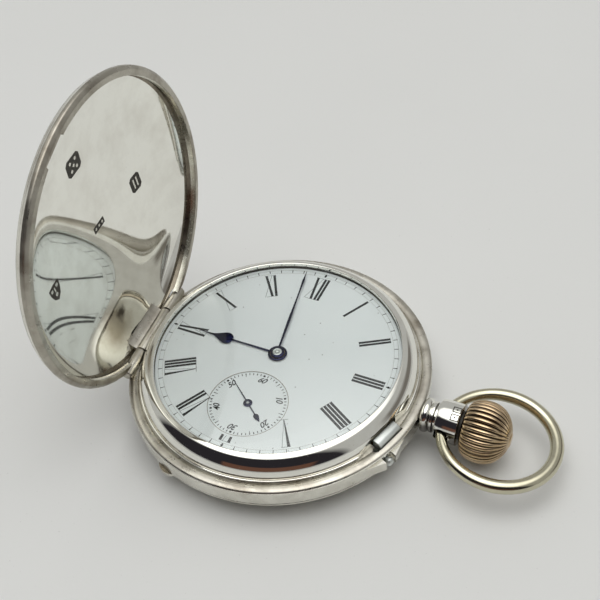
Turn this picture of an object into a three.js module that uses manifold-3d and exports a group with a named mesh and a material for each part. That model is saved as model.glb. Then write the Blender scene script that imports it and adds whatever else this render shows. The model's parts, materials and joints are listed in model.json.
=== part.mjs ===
// Hunter pocket watch: silver case with a spring-open front lid, keyless winding, pin setting,
// subsidiary seconds and a three-quarter plate lever movement. Millimetres, +Z out of the dial,
// +X towards the crown, +Y towards 12 o'clock. The watch lies on the flat of its back cover.
import * as THREE from 'three';
import { mergeVertices } from 'three/addons/utils/BufferGeometryUtils.js';
import Module from 'manifold-3d';

const wasm = await Module();
wasm.setup();

// ---------------------------------------------------------------- driving dimensions
const CASE_RADIUS = 25.9;
const BAND_BOTTOM = 4.5;
const LEDGE = 7.7;
const DIAL_TOP = 10;
const DIAL_RADIUS = 21;
const PLATE_RADIUS = 20.2;
const LID_OPEN_DEG = 91.2;
const LID_HINGE_AZIMUTH_DEG = 4.3;
const HINGE_CHORD = 23.9;
const LID_HINGE_Z = 8.45;
const BACK_HINGE_Z = 3.75;
const CUVETTE_HINGE = { chord: 21.2, z: 3.85 };
const KNUCKLE_RADIUS = 1;
const HINGE_CLEARANCE_RADIUS = 1.3;
const HINGE_PIN_RADIUS = 0.4;
const HINGE_LENGTH = 21.5;
const PENDANT_Z = 6;
const BOW_PIVOT_X = 29.9;
const CATCH_AZIMUTH_DEG = -18.2;
const PUSH_AZIMUTH_DEG = -23.5;
const PUSH_Z = 5.8;
const THUMB_LIP_AZIMUTH_DEG = -111;

// Movement levels, from the back towards the dial.
const TOP_PLATE = [3.9, 4.8];
const MAIN_PLATE = [7.4, 8.7];
const WINDING_WHEELS = [3.3, 3.86];
const BALANCE_RIM = [4, 4.7];
const BALANCE_COCK = [2.75, 3.35];

// Smoothness: facets around the case, large round pieces, small round pieces and pins.
const CASE_FACETS = 36;
const PLATE_FACETS = 20;
const ROUND_FACETS = 12;
const PIN_FACETS = 8;

const RAD = Math.PI / 180;

// ---------------------------------------------------------------- materials
const metal = (color, roughness) => new THREE.MeshStandardMaterial({ color, roughness, metalness: 1 });
const SILVER = metal(0xd9d5c9, 0.22);
const NICKEL_WIRE = metal(0xcfc6a4, 0.25);
const GOLD = metal(0xc9a066, 0.3);
const GILT = metal(0xd8b36a, 0.38);
const STEEL = metal(0xb9bcc0, 0.28);
const BRASS = metal(0xd2ae5c, 0.35);
const BLUED_STEEL = metal(0x1b2350, 0.3);
const ENAMEL = new THREE.MeshStandardMaterial({ color: 0xf1f3f4, roughness: 0.15, metalness: 0 });
const RUBY = new THREE.MeshStandardMaterial({ color: 0xa0123a, roughness: 0.1, metalness: 0 });
const GLASS = new THREE.MeshStandardMaterial({
  color: 0xf4f8fa,
  roughness: 0.03,
  metalness: 0,
  transparent: true,
  opacity: 0.2,
});

const watch = new THREE.Group();

// ---------------------------------------------------------------- solids
function signedVolume(position, index) {
  const [a, b, c] = [new THREE.Vector3(), new THREE.Vector3(), new THREE.Vector3()];
  let volume = 0;
  for (let i = 0; i < index.count; i += 3) {
    a.fromBufferAttribute(position, index.getX(i));
    b.fromBufferAttribute(position, index.getX(i + 1));
    c.fromBufferAttribute(position, index.getX(i + 2));
    volume += a.dot(b.cross(c)) / 6;
  }
  return volume;
}

// A closed three.js geometry as a manifold solid, turned the right way out.
function solidOf(geometry) {
  geometry.deleteAttribute('normal');
  geometry.deleteAttribute('uv');
  const merged = mergeVertices(geometry, 1e-4);
  const triangles = Uint32Array.from(merged.index.array);
  if (signedVolume(merged.attributes.position, merged.index) < 0) {
    for (let i = 0; i < triangles.length; i += 3) {
      [triangles[i], triangles[i + 1]] = [triangles[i + 1], triangles[i]];
    }
  }
  return new wasm.Manifold(new wasm.Mesh({
    numProp: 3,
    vertProperties: Float32Array.from(merged.attributes.position.array),
    triVerts: triangles,
  }));
}

function geometryOf(solid) {
  const mesh = solid.getMesh();
  const geometry = new THREE.BufferGeometry();
  geometry.setAttribute('position', new THREE.BufferAttribute(mesh.vertProperties, 3));
  geometry.setIndex(new THREE.BufferAttribute(mesh.triVerts, 1));
  const faceted = geometry.toNonIndexed();
  faceted.computeVertexNormals();
  return faceted;
}

function addPiece(name, solid, material, parent = watch) {
  const mesh = new THREE.Mesh(geometryOf(solid), material);
  mesh.name = name;
  parent.add(mesh);
  return mesh;
}

const joined = (...solids) => solids.reduce((whole, solid) => whole.add(solid));
const cutBy = (solid, ...tools) => tools.reduce((rest, tool) => rest.subtract(tool), solid);

// A ring or disc turned about Z from [radius, height] points.
function turned(profile, facets = ROUND_FACETS) {
  const outline = profile.map(([radius, height]) => new THREE.Vector2(radius, height));
  const closed = profile.every(([radius]) => radius > 0) ? [...outline, outline[0].clone()] : outline;
  return solidOf(new THREE.LatheGeometry(closed, facets).rotateX(Math.PI / 2));
}

const disc = (radius, [low, high], facets = ROUND_FACETS) => turned(
  [[0, low], [radius, low], [radius, high], [0, high]],
  facets,
);

const ring = (inner, outer, [low, high], facets = ROUND_FACETS) => turned(
  [[inner, low], [outer, low], [outer, high], [inner, high]],
  facets,
);

function box([x0, x1], [y0, y1], [z0, z1]) {
  const geometry = new THREE.BoxGeometry(x1 - x0, y1 - y0, z1 - z0);
  return solidOf(geometry.translate((x0 + x1) / 2, (y0 + y1) / 2, (z0 + z1) / 2));
}

// A flat outline of [x, y] points, or a THREE.Shape, raised between two heights.
function raised(outline, [low, high], curveSegments = 5) {
  const isShape = outline instanceof THREE.Shape;
  const shape = isShape ? outline : new THREE.Shape(outline.map(([x, y]) => new THREE.Vector2(x, y)));
  const depth = high - low;
  const geometry = new THREE.ExtrudeGeometry(shape, { depth, bevelEnabled: false, curveSegments });
  return solidOf(geometry.translate(0, 0, low));
}

const at = (solid, x, y, z = 0) => solid.translate([x, y, z]);
const turnZ = (solid, degrees) => solid.rotate([0, 0, degrees]);

// A Z-axis solid laid along +X, with its height z becoming x, on the pendant's axis.
const alongPendant = (solid) => at(solid.rotate([0, 90, 0]), 0, 0, PENDANT_Z);

// A Z-axis solid laid along Y and moved to a hinge on the -X side.
const onHinge = (solid, chord, z) => at(solid.rotate([-90, 0, 0]), -chord, 0, z);

const polar = (radius, degrees) => [radius * Math.cos(degrees * RAD), radius * Math.sin(degrees * RAD)];

function capsule(radius, halfLength) {
  const capAngles = [0, 45, 90];
  const cap = capAngles.map((angle) => [
    radius * Math.sin(angle * RAD),
    halfLength - radius + radius * Math.cos(angle * RAD),
  ]);
  const otherCap = cap.map(([r, h]) => [r, -h]).reverse();
  return turned([...cap, ...otherCap]);
}

// ---------------------------------------------------------------- hinges
const MIDDLE_KNUCKLE = 4.85;
const KNUCKLE_GAP = 0.3;
const PIN_BORE_RADIUS = 0.5;
const PIN_HALF_LENGTH = HINGE_LENGTH / 2 - 0.75;
const PIN_END_GAP = 0.1;

// A rod along Z, centred on the origin, and three spans of one along a hinge.
const rod = (radius, halfLength, facets) => disc(radius, [-halfLength, halfLength], facets);
const middleKnuckle = () => rod(KNUCKLE_RADIUS, MIDDLE_KNUCKLE);
const middleClearance = () => rod(HINGE_CLEARANCE_RADIUS, MIDDLE_KNUCKLE + KNUCKLE_GAP);
const wholeClearance = () => rod(HINGE_CLEARANCE_RADIUS, HINGE_LENGTH / 2 + KNUCKLE_GAP);

// The pin, the blind bore that holds it and the bore that runs through the middle knuckle.
const hingePin = () => rod(HINGE_PIN_RADIUS, PIN_HALF_LENGTH, PIN_FACETS);
const pinHousing = () => rod(PIN_BORE_RADIUS, PIN_HALF_LENGTH + PIN_END_GAP);
const throughBore = () => rod(PIN_BORE_RADIUS, HINGE_LENGTH);

// The two outer knuckles, with domed ends.
const outerKnuckles = () => cutBy(
  capsule(KNUCKLE_RADIUS, HINGE_LENGTH / 2),
  rod(2 * KNUCKLE_RADIUS, MIDDLE_KNUCKLE + KNUCKLE_GAP),
  pinHousing(),
);

// Everything for a hinge is made on the -X side, then turned to its place around the case.
const toLidSide = (solid) => turnZ(solid, LID_HINGE_AZIMUTH_DEG);
const toTwelve = (solid) => turnZ(solid, -90);

const CUVETTE_KNUCKLE = { radius: 0.6, inner: 2.6, gap: 0.2, outer: 6.2, bore: 0.33 };
const CUVETTE_PIN = { radius: 0.25, halfLength: CUVETTE_KNUCKLE.outer - 0.3 };

const onCuvetteHinge = (solid) => onHinge(solid, CUVETTE_HINGE.chord, CUVETTE_HINGE.z);
const cuvettePinHousing = () => rod(CUVETTE_KNUCKLE.bore, CUVETTE_PIN.halfLength + PIN_END_GAP);

// ---------------------------------------------------------------- case band
const WALL_INNER = 24.9;
const SEAT_INNER = 21.3;
const SEAT_OUTER = 22.3;
const SEAT_TOP = 9.4;
const BAND_INNER = 21;
const SPRING_CHANNEL = [5.1, 6.9];
const SPIGOT_BORE_RADIUS = 1.15;
const PUSH_BORE_RADIUS = 0.9;
const CATCH_HALF_WIDTH = 2.55;

// A box across the catch: from one radius to another, a margin wider than the catch on each side.
const acrossCatch = (radii, margin, heights, azimuth = CATCH_AZIMUTH_DEG) => {
  const halfWidth = CATCH_HALF_WIDTH + margin;
  return turnZ(box(radii, [-halfWidth, halfWidth], heights), azimuth);
};

// A wedge-shaped guard beside the push piece, soldered to the band's side.
function pushGuard(side) {
  const near = 1.05;
  const far = 3.6;
  const halfHeight = 0.9;
  const outline = [[CASE_RADIUS - 0.5, near], [CASE_RADIUS + 1, near], [CASE_RADIUS - 0.2, far],
    [CASE_RADIUS - 0.9, far]];
  const mirrored = outline.map(([x, y]) => [x, side * y]);
  return turnZ(raised(mirrored, [PUSH_Z - halfHeight, PUSH_Z + halfHeight]), PUSH_AZIMUTH_DEG);
}

// The cuvette's two outer knuckles, on saddles that join them to the band's underside.
function cuvetteKnuckles() {
  const { chord, z } = CUVETTE_HINGE;
  const { radius, inner, gap, outer } = CUVETTE_KNUCKLE;
  const knuckles = cutBy(rod(radius, outer), rod(2 * radius, inner + gap));
  const saddles = [[-outer, -inner - gap], [inner + gap, outer]].map((span) => box(
    [-chord - radius, -chord + 0.1],
    span,
    [z, BAND_BOTTOM + 0.1],
  ));
  return toTwelve(joined(onCuvetteHinge(knuckles), ...saddles));
}

function caseBand() {
  const bevel = 0.12;
  const ledgeBevel = 0.2;
  const [channelBottom, channelTop] = SPRING_CHANNEL;
  const body = turned([
    [BAND_INNER, BAND_BOTTOM],
    [CASE_RADIUS - bevel, BAND_BOTTOM],
    [CASE_RADIUS, BAND_BOTTOM + bevel],
    [CASE_RADIUS, LEDGE - ledgeBevel],
    [CASE_RADIUS - ledgeBevel, LEDGE],
    [SEAT_OUTER, LEDGE],
    [SEAT_OUTER, SEAT_TOP],
    [SEAT_INNER, SEAT_TOP],
    [SEAT_INNER, SEAT_TOP - 0.3],
    [BAND_INNER, SEAT_TOP - 0.5],
    [BAND_INNER, channelTop],
    [WALL_INNER, channelTop],
    [WALL_INNER, channelBottom],
    [BAND_INNER, channelBottom],
  ], CASE_FACETS);
  const withKnuckles = joined(
    cutBy(
      body,
      toLidSide(onHinge(middleClearance(), HINGE_CHORD, LID_HINGE_Z)),
      toTwelve(onHinge(middleClearance(), HINGE_CHORD, BACK_HINGE_Z)),
      acrossCatch([SEAT_OUTER + 0.05, WALL_INNER + 0.15], 0.3, [channelTop - 0.5, LEDGE + 1]),
    ),
    toLidSide(onHinge(outerKnuckles(), HINGE_CHORD, LID_HINGE_Z)),
    toTwelve(onHinge(outerKnuckles(), HINGE_CHORD, BACK_HINGE_Z)),
    cuvetteKnuckles(),
    pushGuard(-1),
    pushGuard(1),
  );
  const pushBore = at(disc(PUSH_BORE_RADIUS, [23, 28], PIN_FACETS).rotate([0, 90, 0]), 0, 0, PUSH_Z);
  return cutBy(
    withKnuckles,
    toLidSide(onHinge(pinHousing(), HINGE_CHORD, LID_HINGE_Z)),
    toTwelve(onHinge(pinHousing(), HINGE_CHORD, BACK_HINGE_Z)),
    toTwelve(onCuvetteHinge(cuvettePinHousing())),
    alongPendant(disc(SPIGOT_BORE_RADIUS, [24, 27])),
    turnZ(pushBore, PUSH_AZIMUTH_DEG),
  );
}

// ---------------------------------------------------------------- bezel and glass
const BEZEL_FLAT = 23.3;

function bezel() {
  const body = turned([
    [21.3, 10.72],
    [21.7, 10.84],
    [22.2, 10.6],
    [23.3, 8.75],
    [24, 8.45],
    [24, 8.1],
    [23.8, 7.9],
    [22.6, 7.9],
    [22.6, 9.8],
    [21.3, 10.1],
    [21.75, 10.25],
    [21.75, 10.55],
  ], CASE_FACETS);
  return cutBy(
    body,
    acrossCatch([SEAT_OUTER - 0.1, CASE_RADIUS], 0.4, [LEDGE - 0.7, SEAT_TOP + 0.2]),
    acrossCatch([BEZEL_FLAT, CASE_RADIUS], 4.5, [LEDGE - 0.7, SEAT_TOP + 0.2]),
    toLidSide(onHinge(wholeClearance(), HINGE_CHORD, LID_HINGE_Z)),
  );
}

const crystal = () => turned([
  [0, 12.1], [12, 11.8], [20.5, 11.1], [21.15, 10.7], [21.6, 10.5],
  [21.6, 10.3], [21, 10.4], [20.2, 10.85], [12, 11.4], [0, 11.7],
], CASE_FACETS);

// ---------------------------------------------------------------- front lid
const LID_RIM_INNER = 24.3;

// The lid as it stands when shut, with its hinge on the -X side.
function shutLid() {
  const shell = turned([
    [0, 14.1], [9, 13.85], [18, 12.95], [22.5, 11.8], [24.7, 10.45],
    [CASE_RADIUS, 9.1], [CASE_RADIUS, 8.5], [25.5, 7.85],
    [LID_RIM_INNER, 7.85], [LID_RIM_INNER, 9], [24.9, 9.25],
    [23.8, 10.3], [22.1, 11.2], [18, 12.35], [9, 13.25], [0, 13.5],
  ], CASE_FACETS);
  const behindHinge = box([-30, -HINGE_CHORD - 0.3], [-16, 16], [7, LID_HINGE_Z + 2.45]);
  const catchAzimuth = CATCH_AZIMUTH_DEG - LID_HINGE_AZIMUTH_DEG;
  const catchNotch = acrossCatch([LID_RIM_INNER - 0.8, WALL_INNER + 0.2], 0.65, [7, 9.4], catchAzimuth);
  const leaf = box([-HINGE_CHORD - 0.3, -HINGE_CHORD + 0.4], [-MIDDLE_KNUCKLE, MIDDLE_KNUCKLE],
    [LID_HINGE_Z + 0.6, 10.3]);
  return cutBy(
    joined(
      cutBy(shell, behindHinge, catchNotch, onHinge(wholeClearance(), HINGE_CHORD, LID_HINGE_Z)),
      onHinge(middleKnuckle(), HINGE_CHORD, LID_HINGE_Z),
      leaf,
    ),
    onHinge(throughBore(), HINGE_CHORD, LID_HINGE_Z),
  );
}

// ---------------------------------------------------------------- back cover and cuvette
const COVER_TOP = BAND_BOTTOM - 0.1;

function backCover() {
  const shell = turned([
    [0, 0], [8, 0], [16, 0.45], [21.5, 1.4], [24.8, 2.8], [25.75, 3.9], [25.75, COVER_TOP],
    [25.1, COVER_TOP], [25.1, 4], [24.3, 3.25], [21.2, 2], [16, 1.05], [8, 0.55], [0, 0.55],
  ], CASE_FACETS);
  const behindHinge = box([-30, -HINGE_CHORD - 0.3], [-16, 16], [1.2, 6]);
  const leaf = box([-HINGE_CHORD - 0.3, -HINGE_CHORD + 0.5], [-MIDDLE_KNUCKLE, MIDDLE_KNUCKLE],
    [2.3, BACK_HINGE_Z]);
  const lipProfile = [[25.2, -2.2], [26.1, -1.3], [26.4, 0], [26.1, 1.3], [25.2, 2.2]];
  const lip = turnZ(raised(lipProfile, [3.5, 4.1]), THUMB_LIP_AZIMUTH_DEG + 90);
  const hinged = joined(
    cutBy(shell, behindHinge, onHinge(wholeClearance(), HINGE_CHORD, BACK_HINGE_Z)),
    onHinge(middleKnuckle(), HINGE_CHORD, BACK_HINGE_Z),
    leaf,
    lip,
  );
  return toTwelve(cutBy(hinged, onHinge(throughBore(), HINGE_CHORD, BACK_HINGE_Z)));
}

function cuvette() {
  const shell = turned([
    [0, 1.6], [12, 1.75], [18, 2.25], [21.6, 3.2], [22.6, 4.1], [22.6, 4.4],
    [22.15, 4.4], [20.8, 3.4], [18, 2.65], [12, 2.15], [0, 2],
  ], CASE_FACETS);
  const { chord, z } = CUVETTE_HINGE;
  const { radius, inner, gap, outer, bore } = CUVETTE_KNUCKLE;
  const behindHinge = box([-30, -chord - 0.1], [-16, 16], [1, 6]);
  const hinged = joined(
    cutBy(shell, behindHinge, onCuvetteHinge(rod(radius + gap, outer + gap))),
    onCuvetteHinge(rod(radius, inner)),
    box([-chord, -chord + 0.8], [-inner, inner], [z - 0.9, z]),
  );
  return toTwelve(cutBy(hinged, onCuvetteHinge(rod(bore, outer))));
}

// ---------------------------------------------------------------- pendant, bow and crown
const SLEEVE = { inner: 0.65, outer: 0.95 };
const STEM_RADIUS = 0.5;
const CROWN_START = 33.1;
const CROWN_END = 40.6;

function pendant() {
  const tube = alongPendant(turned([
    [0.7, 25], [1, 25], [1, 26.1], [2.2, 26.1], [2.75, 26.6], [2.6, 27.2], [2.2, 27.45], [2.45, 27.75],
    [2.45, 28.1], [2.2, 28.2], [2.2, 28.65], [3.25, 28.75], [3.4, 29.1], [3.4, 32.25], [3.3, 32.35],
    [2.2, 32.35], [2.2, 33.3], [1.05, 33.3], [1.05, 28.4], [0.7, 28.4],
  ]));
  const pivotHoles = [-1, 1].map((side) => {
    const hole = disc(1.45, [1.9, 4]).rotate([side * 90, 0, 0]);
    return at(hole, BOW_PIVOT_X, 0, PENDANT_Z);
  });
  return cutBy(tube, ...pivotHoles);
}

// An oval wire whose two ends turn in towards the pendant's side holes.
const BOW = {
  centre: 8.7,
  halfLength: 9.1,
  halfWidth: 8.8,
  endReach: 2.4,
  wireRadius: 1.1,
  endRadius: 0.9,
  droop: 3.7,
};

function bow() {
  const start = Math.asin(BOW.endReach / BOW.halfWidth);
  const steps = 32;
  const route = [];
  for (let i = 0; i <= steps; i += 1) {
    const angle = Math.PI - start - (2 * (Math.PI - start) * i) / steps;
    route.push(new THREE.Vector3(BOW.centre + BOW.halfLength * Math.cos(angle),
      BOW.halfWidth * Math.sin(angle), 0));
  }
  const wire = new THREE.Shape();
  wire.absarc(0, 0, BOW.wireRadius, 0, 2 * Math.PI);
  const tube = new THREE.ExtrudeGeometry(wire, {
    steps,
    bevelEnabled: false,
    curveSegments: 4,
    extrudePath: new THREE.CatmullRomCurve3(route),
  });
  const tapered = solidOf(tube).warp((vertex) => {
    const reach = Math.min(1, Math.max(0, (vertex[0] - BOW.wireRadius) / 4));
    const slim = BOW.endRadius / BOW.wireRadius;
    vertex[2] *= slim + (1 - slim) * reach;
  });
  return at(tapered.rotate([0, BOW.droop, 0]), BOW_PIVOT_X, 0, PENDANT_Z);
}

// The onion crown: ribs run from the pendant side and close on a small flat pole.
function crown() {
  const ribs = 32;
  const ribDepth = 0.035;
  const profile = [[3.4, CROWN_START], [4.1, 33.6], [4.65, 34.4], [4.95, 36.1], [4.75, 37.5], [4.1, 38.8],
    [2.9, 39.8], [1.6, 40.4], [1, CROWN_END]];
  const outline = profile.map(([radius, height]) => new THREE.Vector2(radius, height));
  const onion = new THREE.LatheGeometry(
    [new THREE.Vector2(0, CROWN_START), ...outline, new THREE.Vector2(0, CROWN_END)],
    2 * ribs,
  ).rotateX(Math.PI / 2);
  const ribbed = solidOf(onion).warp((vertex) => {
    const angle = Math.atan2(vertex[1], vertex[0]);
    const wave = 1 + ribDepth * Math.cos(ribs * angle);
    const isPole = vertex[2] > CROWN_END - 0.01 || vertex[2] < CROWN_START + 0.01;
    const scale = isPole ? 1 : wave;
    vertex[0] *= scale;
    vertex[1] *= scale;
  });
  const recess = disc(2.6, [CROWN_START - 1, 34.2]);
  const stemHole = disc(STEM_RADIUS + 0.05, [CROWN_START - 1, 37], PIN_FACETS);
  return alongPendant(cutBy(ribbed, recess, stemHole));
}

function windingStem() {
  const square = box([-0.35, 0.35], [-0.35, 0.35], [14.7, 20]);
  const pivot = disc(0.25, [14.2, 15], PIN_FACETS);
  return alongPendant(joined(disc(STEM_RADIUS, [19.5, 36.9], PIN_FACETS), square, pivot));
}

const stemSleeve = () => alongPendant(turned([
  [SLEEVE.inner, 28.9], [SLEEVE.outer, 28.9], [SLEEVE.outer, 33], [SLEEVE.inner, 33],
]));

// ---------------------------------------------------------------- catch and push piece
function lockSpring() {
  const across = [-CATCH_HALF_WIDTH, CATCH_HALF_WIDTH];
  const [inner, outer] = [22.95, 23.55];
  const [bottom, armTop, noseBottom, noseTop] = [5.5, 6.4, 7, 8.3];
  const nose = box([inner - 0.05, 24.7], across, [noseBottom, noseTop]);
  const slope = box([24, 27], [-3, 3], [0, 1]).rotate([0, 14, 0]).translate([0, 0, 13.95]);
  const stalk = box([inner, outer], across, [bottom, noseBottom + 0.1]);
  const reachDeg = 70;
  const arc = new THREE.Shape();
  arc.absarc(0, 0, outer, -reachDeg * RAD, 0);
  arc.absarc(0, 0, inner, 0, -reachDeg * RAD, true);
  return turnZ(joined(cutBy(nose, slope), stalk, raised(arc, [bottom, armTop], 8)), CATCH_AZIMUTH_DEG);
}

function pushPiece() {
  const body = turned([[0, 24.3], [0.5, 24.3], [0.5, 26.1], [0.7, 26.15], [0.75, 26.7], [0.45, 26.95],
    [0, 27]], PIN_FACETS);
  return turnZ(at(body.rotate([0, 90, 0]), 0, 0, PUSH_Z), PUSH_AZIMUTH_DEG);
}

// The spring that throws the lid open, curled in the band's channel near the lid hinge.
function flySpring() {
  const arc = new THREE.Shape();
  const [from, to] = [110 * RAD, 172 * RAD];
  arc.absarc(0, 0, 24.3, from, to);
  arc.absarc(0, 0, 23.8, to, from, true);
  return raised(arc, [5.3, 6.7], 8);
}

// ---------------------------------------------------------------- movement layout
const toothHeight = { tip: 0.45, root: 0.7 };

const BARREL = { teeth: 80, module: 0.19, z: [5.5, 6] };
const CENTRE_PINION = { teeth: 10, module: BARREL.module, z: [5.4, 7.1] };
const CENTRE_WHEEL = { teeth: 64, module: 0.18, z: [4.95, 5.25] };
const THIRD_PINION = { teeth: 8, module: CENTRE_WHEEL.module, z: [4.92, 6.2] };
const THIRD_WHEEL = { teeth: 60, module: 0.15, z: [6.75, 7] };
const FOURTH_PINION = { teeth: 8, module: THIRD_WHEEL.module, z: [6.4, 7.15] };
const FOURTH_WHEEL = { teeth: 70, module: 0.11, z: [5.6, 5.85] };
const ESCAPE_PINION = { teeth: 7, module: FOURTH_WHEEL.module, z: [5.3, 6.1] };
const RATCHET_WHEEL = { teeth: 43, module: 0.25, z: WINDING_WHEELS };
const CROWN_WHEEL = { teeth: 32, module: RATCHET_WHEEL.module, z: WINDING_WHEELS };
const WINDING_PINION = { teeth: 15, module: RATCHET_WHEEL.module };
const CANNON_PINION = { teeth: 10, module: 0.16, z: [8.85, 9.1] };
const MINUTE_WHEEL = { teeth: 30, module: CANNON_PINION.module, z: [8.85, 9.03] };
const MINUTE_PINION = { teeth: 10, module: 0.128, z: [9.03, 9.3] };
const HOUR_WHEEL = { teeth: 40, module: MINUTE_PINION.module, z: [9.14, 9.3] };

const pitchRadius = ({ teeth, module }) => (teeth * module) / 2;
const spacing = (driver, driven) => pitchRadius(driver) + pitchRadius(driven);

const CENTRE = [0, 0];
const FOURTH = [0, -11.1];
const CROWN_WHEEL_AT = [12.2, 0];

// The point at given distances from two others, on the left or right of the line between them.
function triangulate([ax, ay], fromA, [bx, by], fromB, side) {
  const base = Math.hypot(bx - ax, by - ay);
  const along = (fromA ** 2 - fromB ** 2 + base ** 2) / (2 * base);
  const across = side * Math.sqrt(fromA ** 2 - along ** 2);
  const [ux, uy] = [(bx - ax) / base, (by - ay) / base];
  return [ax + ux * along - uy * across, ay + uy * along + ux * across];
}

const offset = ([x, y], distance, degrees) => {
  const [dx, dy] = polar(distance, degrees);
  return [x + dx, y + dy];
};

const THIRD = triangulate(CENTRE, spacing(CENTRE_WHEEL, THIRD_PINION), FOURTH,
  spacing(THIRD_WHEEL, FOURTH_PINION), 1);
const BARREL_AT = triangulate(CENTRE, spacing(BARREL, CENTRE_PINION), CROWN_WHEEL_AT,
  spacing(RATCHET_WHEEL, CROWN_WHEEL), 1);
const ESCAPE = offset(FOURTH, spacing(FOURTH_WHEEL, ESCAPE_PINION), 160);
const BALANCE = [-10.5, -4];
const PALLET = offset(ESCAPE, 3.95, 142);
const COCK_FOOT = offset(BALANCE, 9.4, 118);
const PALLET_FOOT = offset(PALLET, 3.4, 205);
const MINUTE_WHEEL_AT = offset(CENTRE, spacing(CANNON_PINION, MINUTE_WHEEL), 35);

// The tooth angle that lets a driven gear mesh with its driver, both in degrees.
function meshPhase(driver, driverAt, driverPhase, driven, drivenAt) {
  const line = Math.atan2(drivenAt[1] - driverAt[1], drivenAt[0] - driverAt[0]) / RAD;
  const driverPitch = 360 / driver.teeth;
  const drivenPitch = 360 / driven.teeth;
  const driverShare = (line - driverPhase) / driverPitch;
  return line + 180 - (0.5 - driverShare) * drivenPitch;
}

// Outline of a gear with pointed teeth: the first tooth's tip lies at the phase angle.
function gearOutline({ teeth, module }, phase) {
  const pitch = pitchRadius({ teeth, module });
  const points = [];
  for (let i = 0; i < teeth; i += 1) {
    const angle = phase + (360 * i) / teeth;
    points.push(polar(pitch + toothHeight.tip * module, angle));
    points.push(polar(pitch - toothHeight.root * module, angle + 180 / teeth));
  }
  return points;
}

// Openings between four arms, as a tool that cuts them out of a wheel.
function crossings(inner, outer, z, armWidth) {
  const openings = ring(inner, outer, [z[0] - 1, z[1] + 1]);
  const arms = [0, 90].map((angle) => {
    const bar = box([-outer - 1, outer + 1], [-armWidth / 2, armWidth / 2], [z[0] - 1, z[1] + 1]);
    return turnZ(bar, angle);
  });
  return cutBy(openings, ...arms);
}

function wheel(gear, phase, boreRadius, { armWidth = 0.7, solid = false } = {}) {
  const blank = raised(gearOutline(gear, phase), gear.z);
  const bored = cutBy(blank, disc(boreRadius, [gear.z[0] - 1, gear.z[1] + 1], PIN_FACETS));
  const rim = pitchRadius(gear) - toothHeight.root * gear.module - 0.55;
  return solid ? bored : cutBy(bored, crossings(boreRadius + 0.9, rim, gear.z, armWidth));
}

// A leaved pinion cut on its arbor; the wheel is pressed on the arbor between two heights.
function pinionOnArbor(gear, phase, arborRadius, span, pivotRadius = 0.15) {
  const pivotLength = 0.55;
  const arbor = disc(arborRadius, [span[0] + pivotLength, span[1] - pivotLength], PIN_FACETS);
  const pivots = disc(pivotRadius, span, 8);
  return joined(raised(gearOutline(gear, phase), gear.z), arbor, pivots);
}

const PIVOT_SPAN = [TOP_PLATE[0] + 0.4, MAIN_PLATE[0] + 0.5];
const ARBOR_RADIUS = 0.3;
const WHEEL_BORE = ARBOR_RADIUS + 0.03;
const pivotHole = ([x, y], radius, [low, high]) => at(disc(radius, [low - 1, high + 1], PIN_FACETS), x, y);

const phases = {};
phases.barrel = 0;
phases.centrePinion = meshPhase(BARREL, BARREL_AT, phases.barrel, CENTRE_PINION, CENTRE);
phases.centreWheel = 0;
phases.thirdPinion = meshPhase(CENTRE_WHEEL, CENTRE, phases.centreWheel, THIRD_PINION, THIRD);
phases.thirdWheel = 0;
phases.fourthPinion = meshPhase(THIRD_WHEEL, THIRD, phases.thirdWheel, FOURTH_PINION, FOURTH);
phases.fourthWheel = 0;
phases.escapePinion = meshPhase(FOURTH_WHEEL, FOURTH, phases.fourthWheel, ESCAPE_PINION, ESCAPE);
phases.crownWheel = 0;
phases.ratchetWheel = meshPhase(CROWN_WHEEL, CROWN_WHEEL_AT, phases.crownWheel, RATCHET_WHEEL, BARREL_AT);
phases.cannonPinion = 0;
phases.minuteWheel = meshPhase(CANNON_PINION, CENTRE, phases.cannonPinion, MINUTE_WHEEL, MINUTE_WHEEL_AT);
phases.minutePinion = 0;
phases.hourWheel = meshPhase(MINUTE_PINION, MINUTE_WHEEL_AT, phases.minutePinion, HOUR_WHEEL, CENTRE);

// ---------------------------------------------------------------- plates and cocks
const PILLARS = [polar(18.3, 108), polar(18.3, -62), polar(18.3, -118)];
const BALANCE_WINDOW = 7.4;
const PINION_SLOT = 2.3;

function mainPlate() {
  const plate = joined(
    disc(PLATE_RADIUS + 0.4, MAIN_PLATE, CASE_FACETS),
    ring(19.9, PLATE_RADIUS + 0.4, [MAIN_PLATE[1] - 0.1, 9.3], CASE_FACETS),
    ...PILLARS.map(([x, y]) => at(disc(1, [TOP_PLATE[1] + 0.05, MAIN_PLATE[0] + 0.1], PIN_FACETS), x, y)),
  );
  const windingSlot = box([14.6, 18.2], [-PINION_SLOT, PINION_SLOT], [MAIN_PLATE[0] - 1, 8.25]);
  const pivots = [THIRD, ESCAPE, BALANCE, PALLET].map((spot) => pivotHole(spot, 0.25, [MAIN_PLATE[0], 8]));
  return cutBy(
    plate,
    windingSlot,
    ...pivots,
    pivotHole(FOURTH, 0.35, MAIN_PLATE),
    pivotHole(CENTRE, 0.55, MAIN_PLATE),
    pivotHole(BARREL_AT, 0.85, MAIN_PLATE),
  );
}

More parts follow.
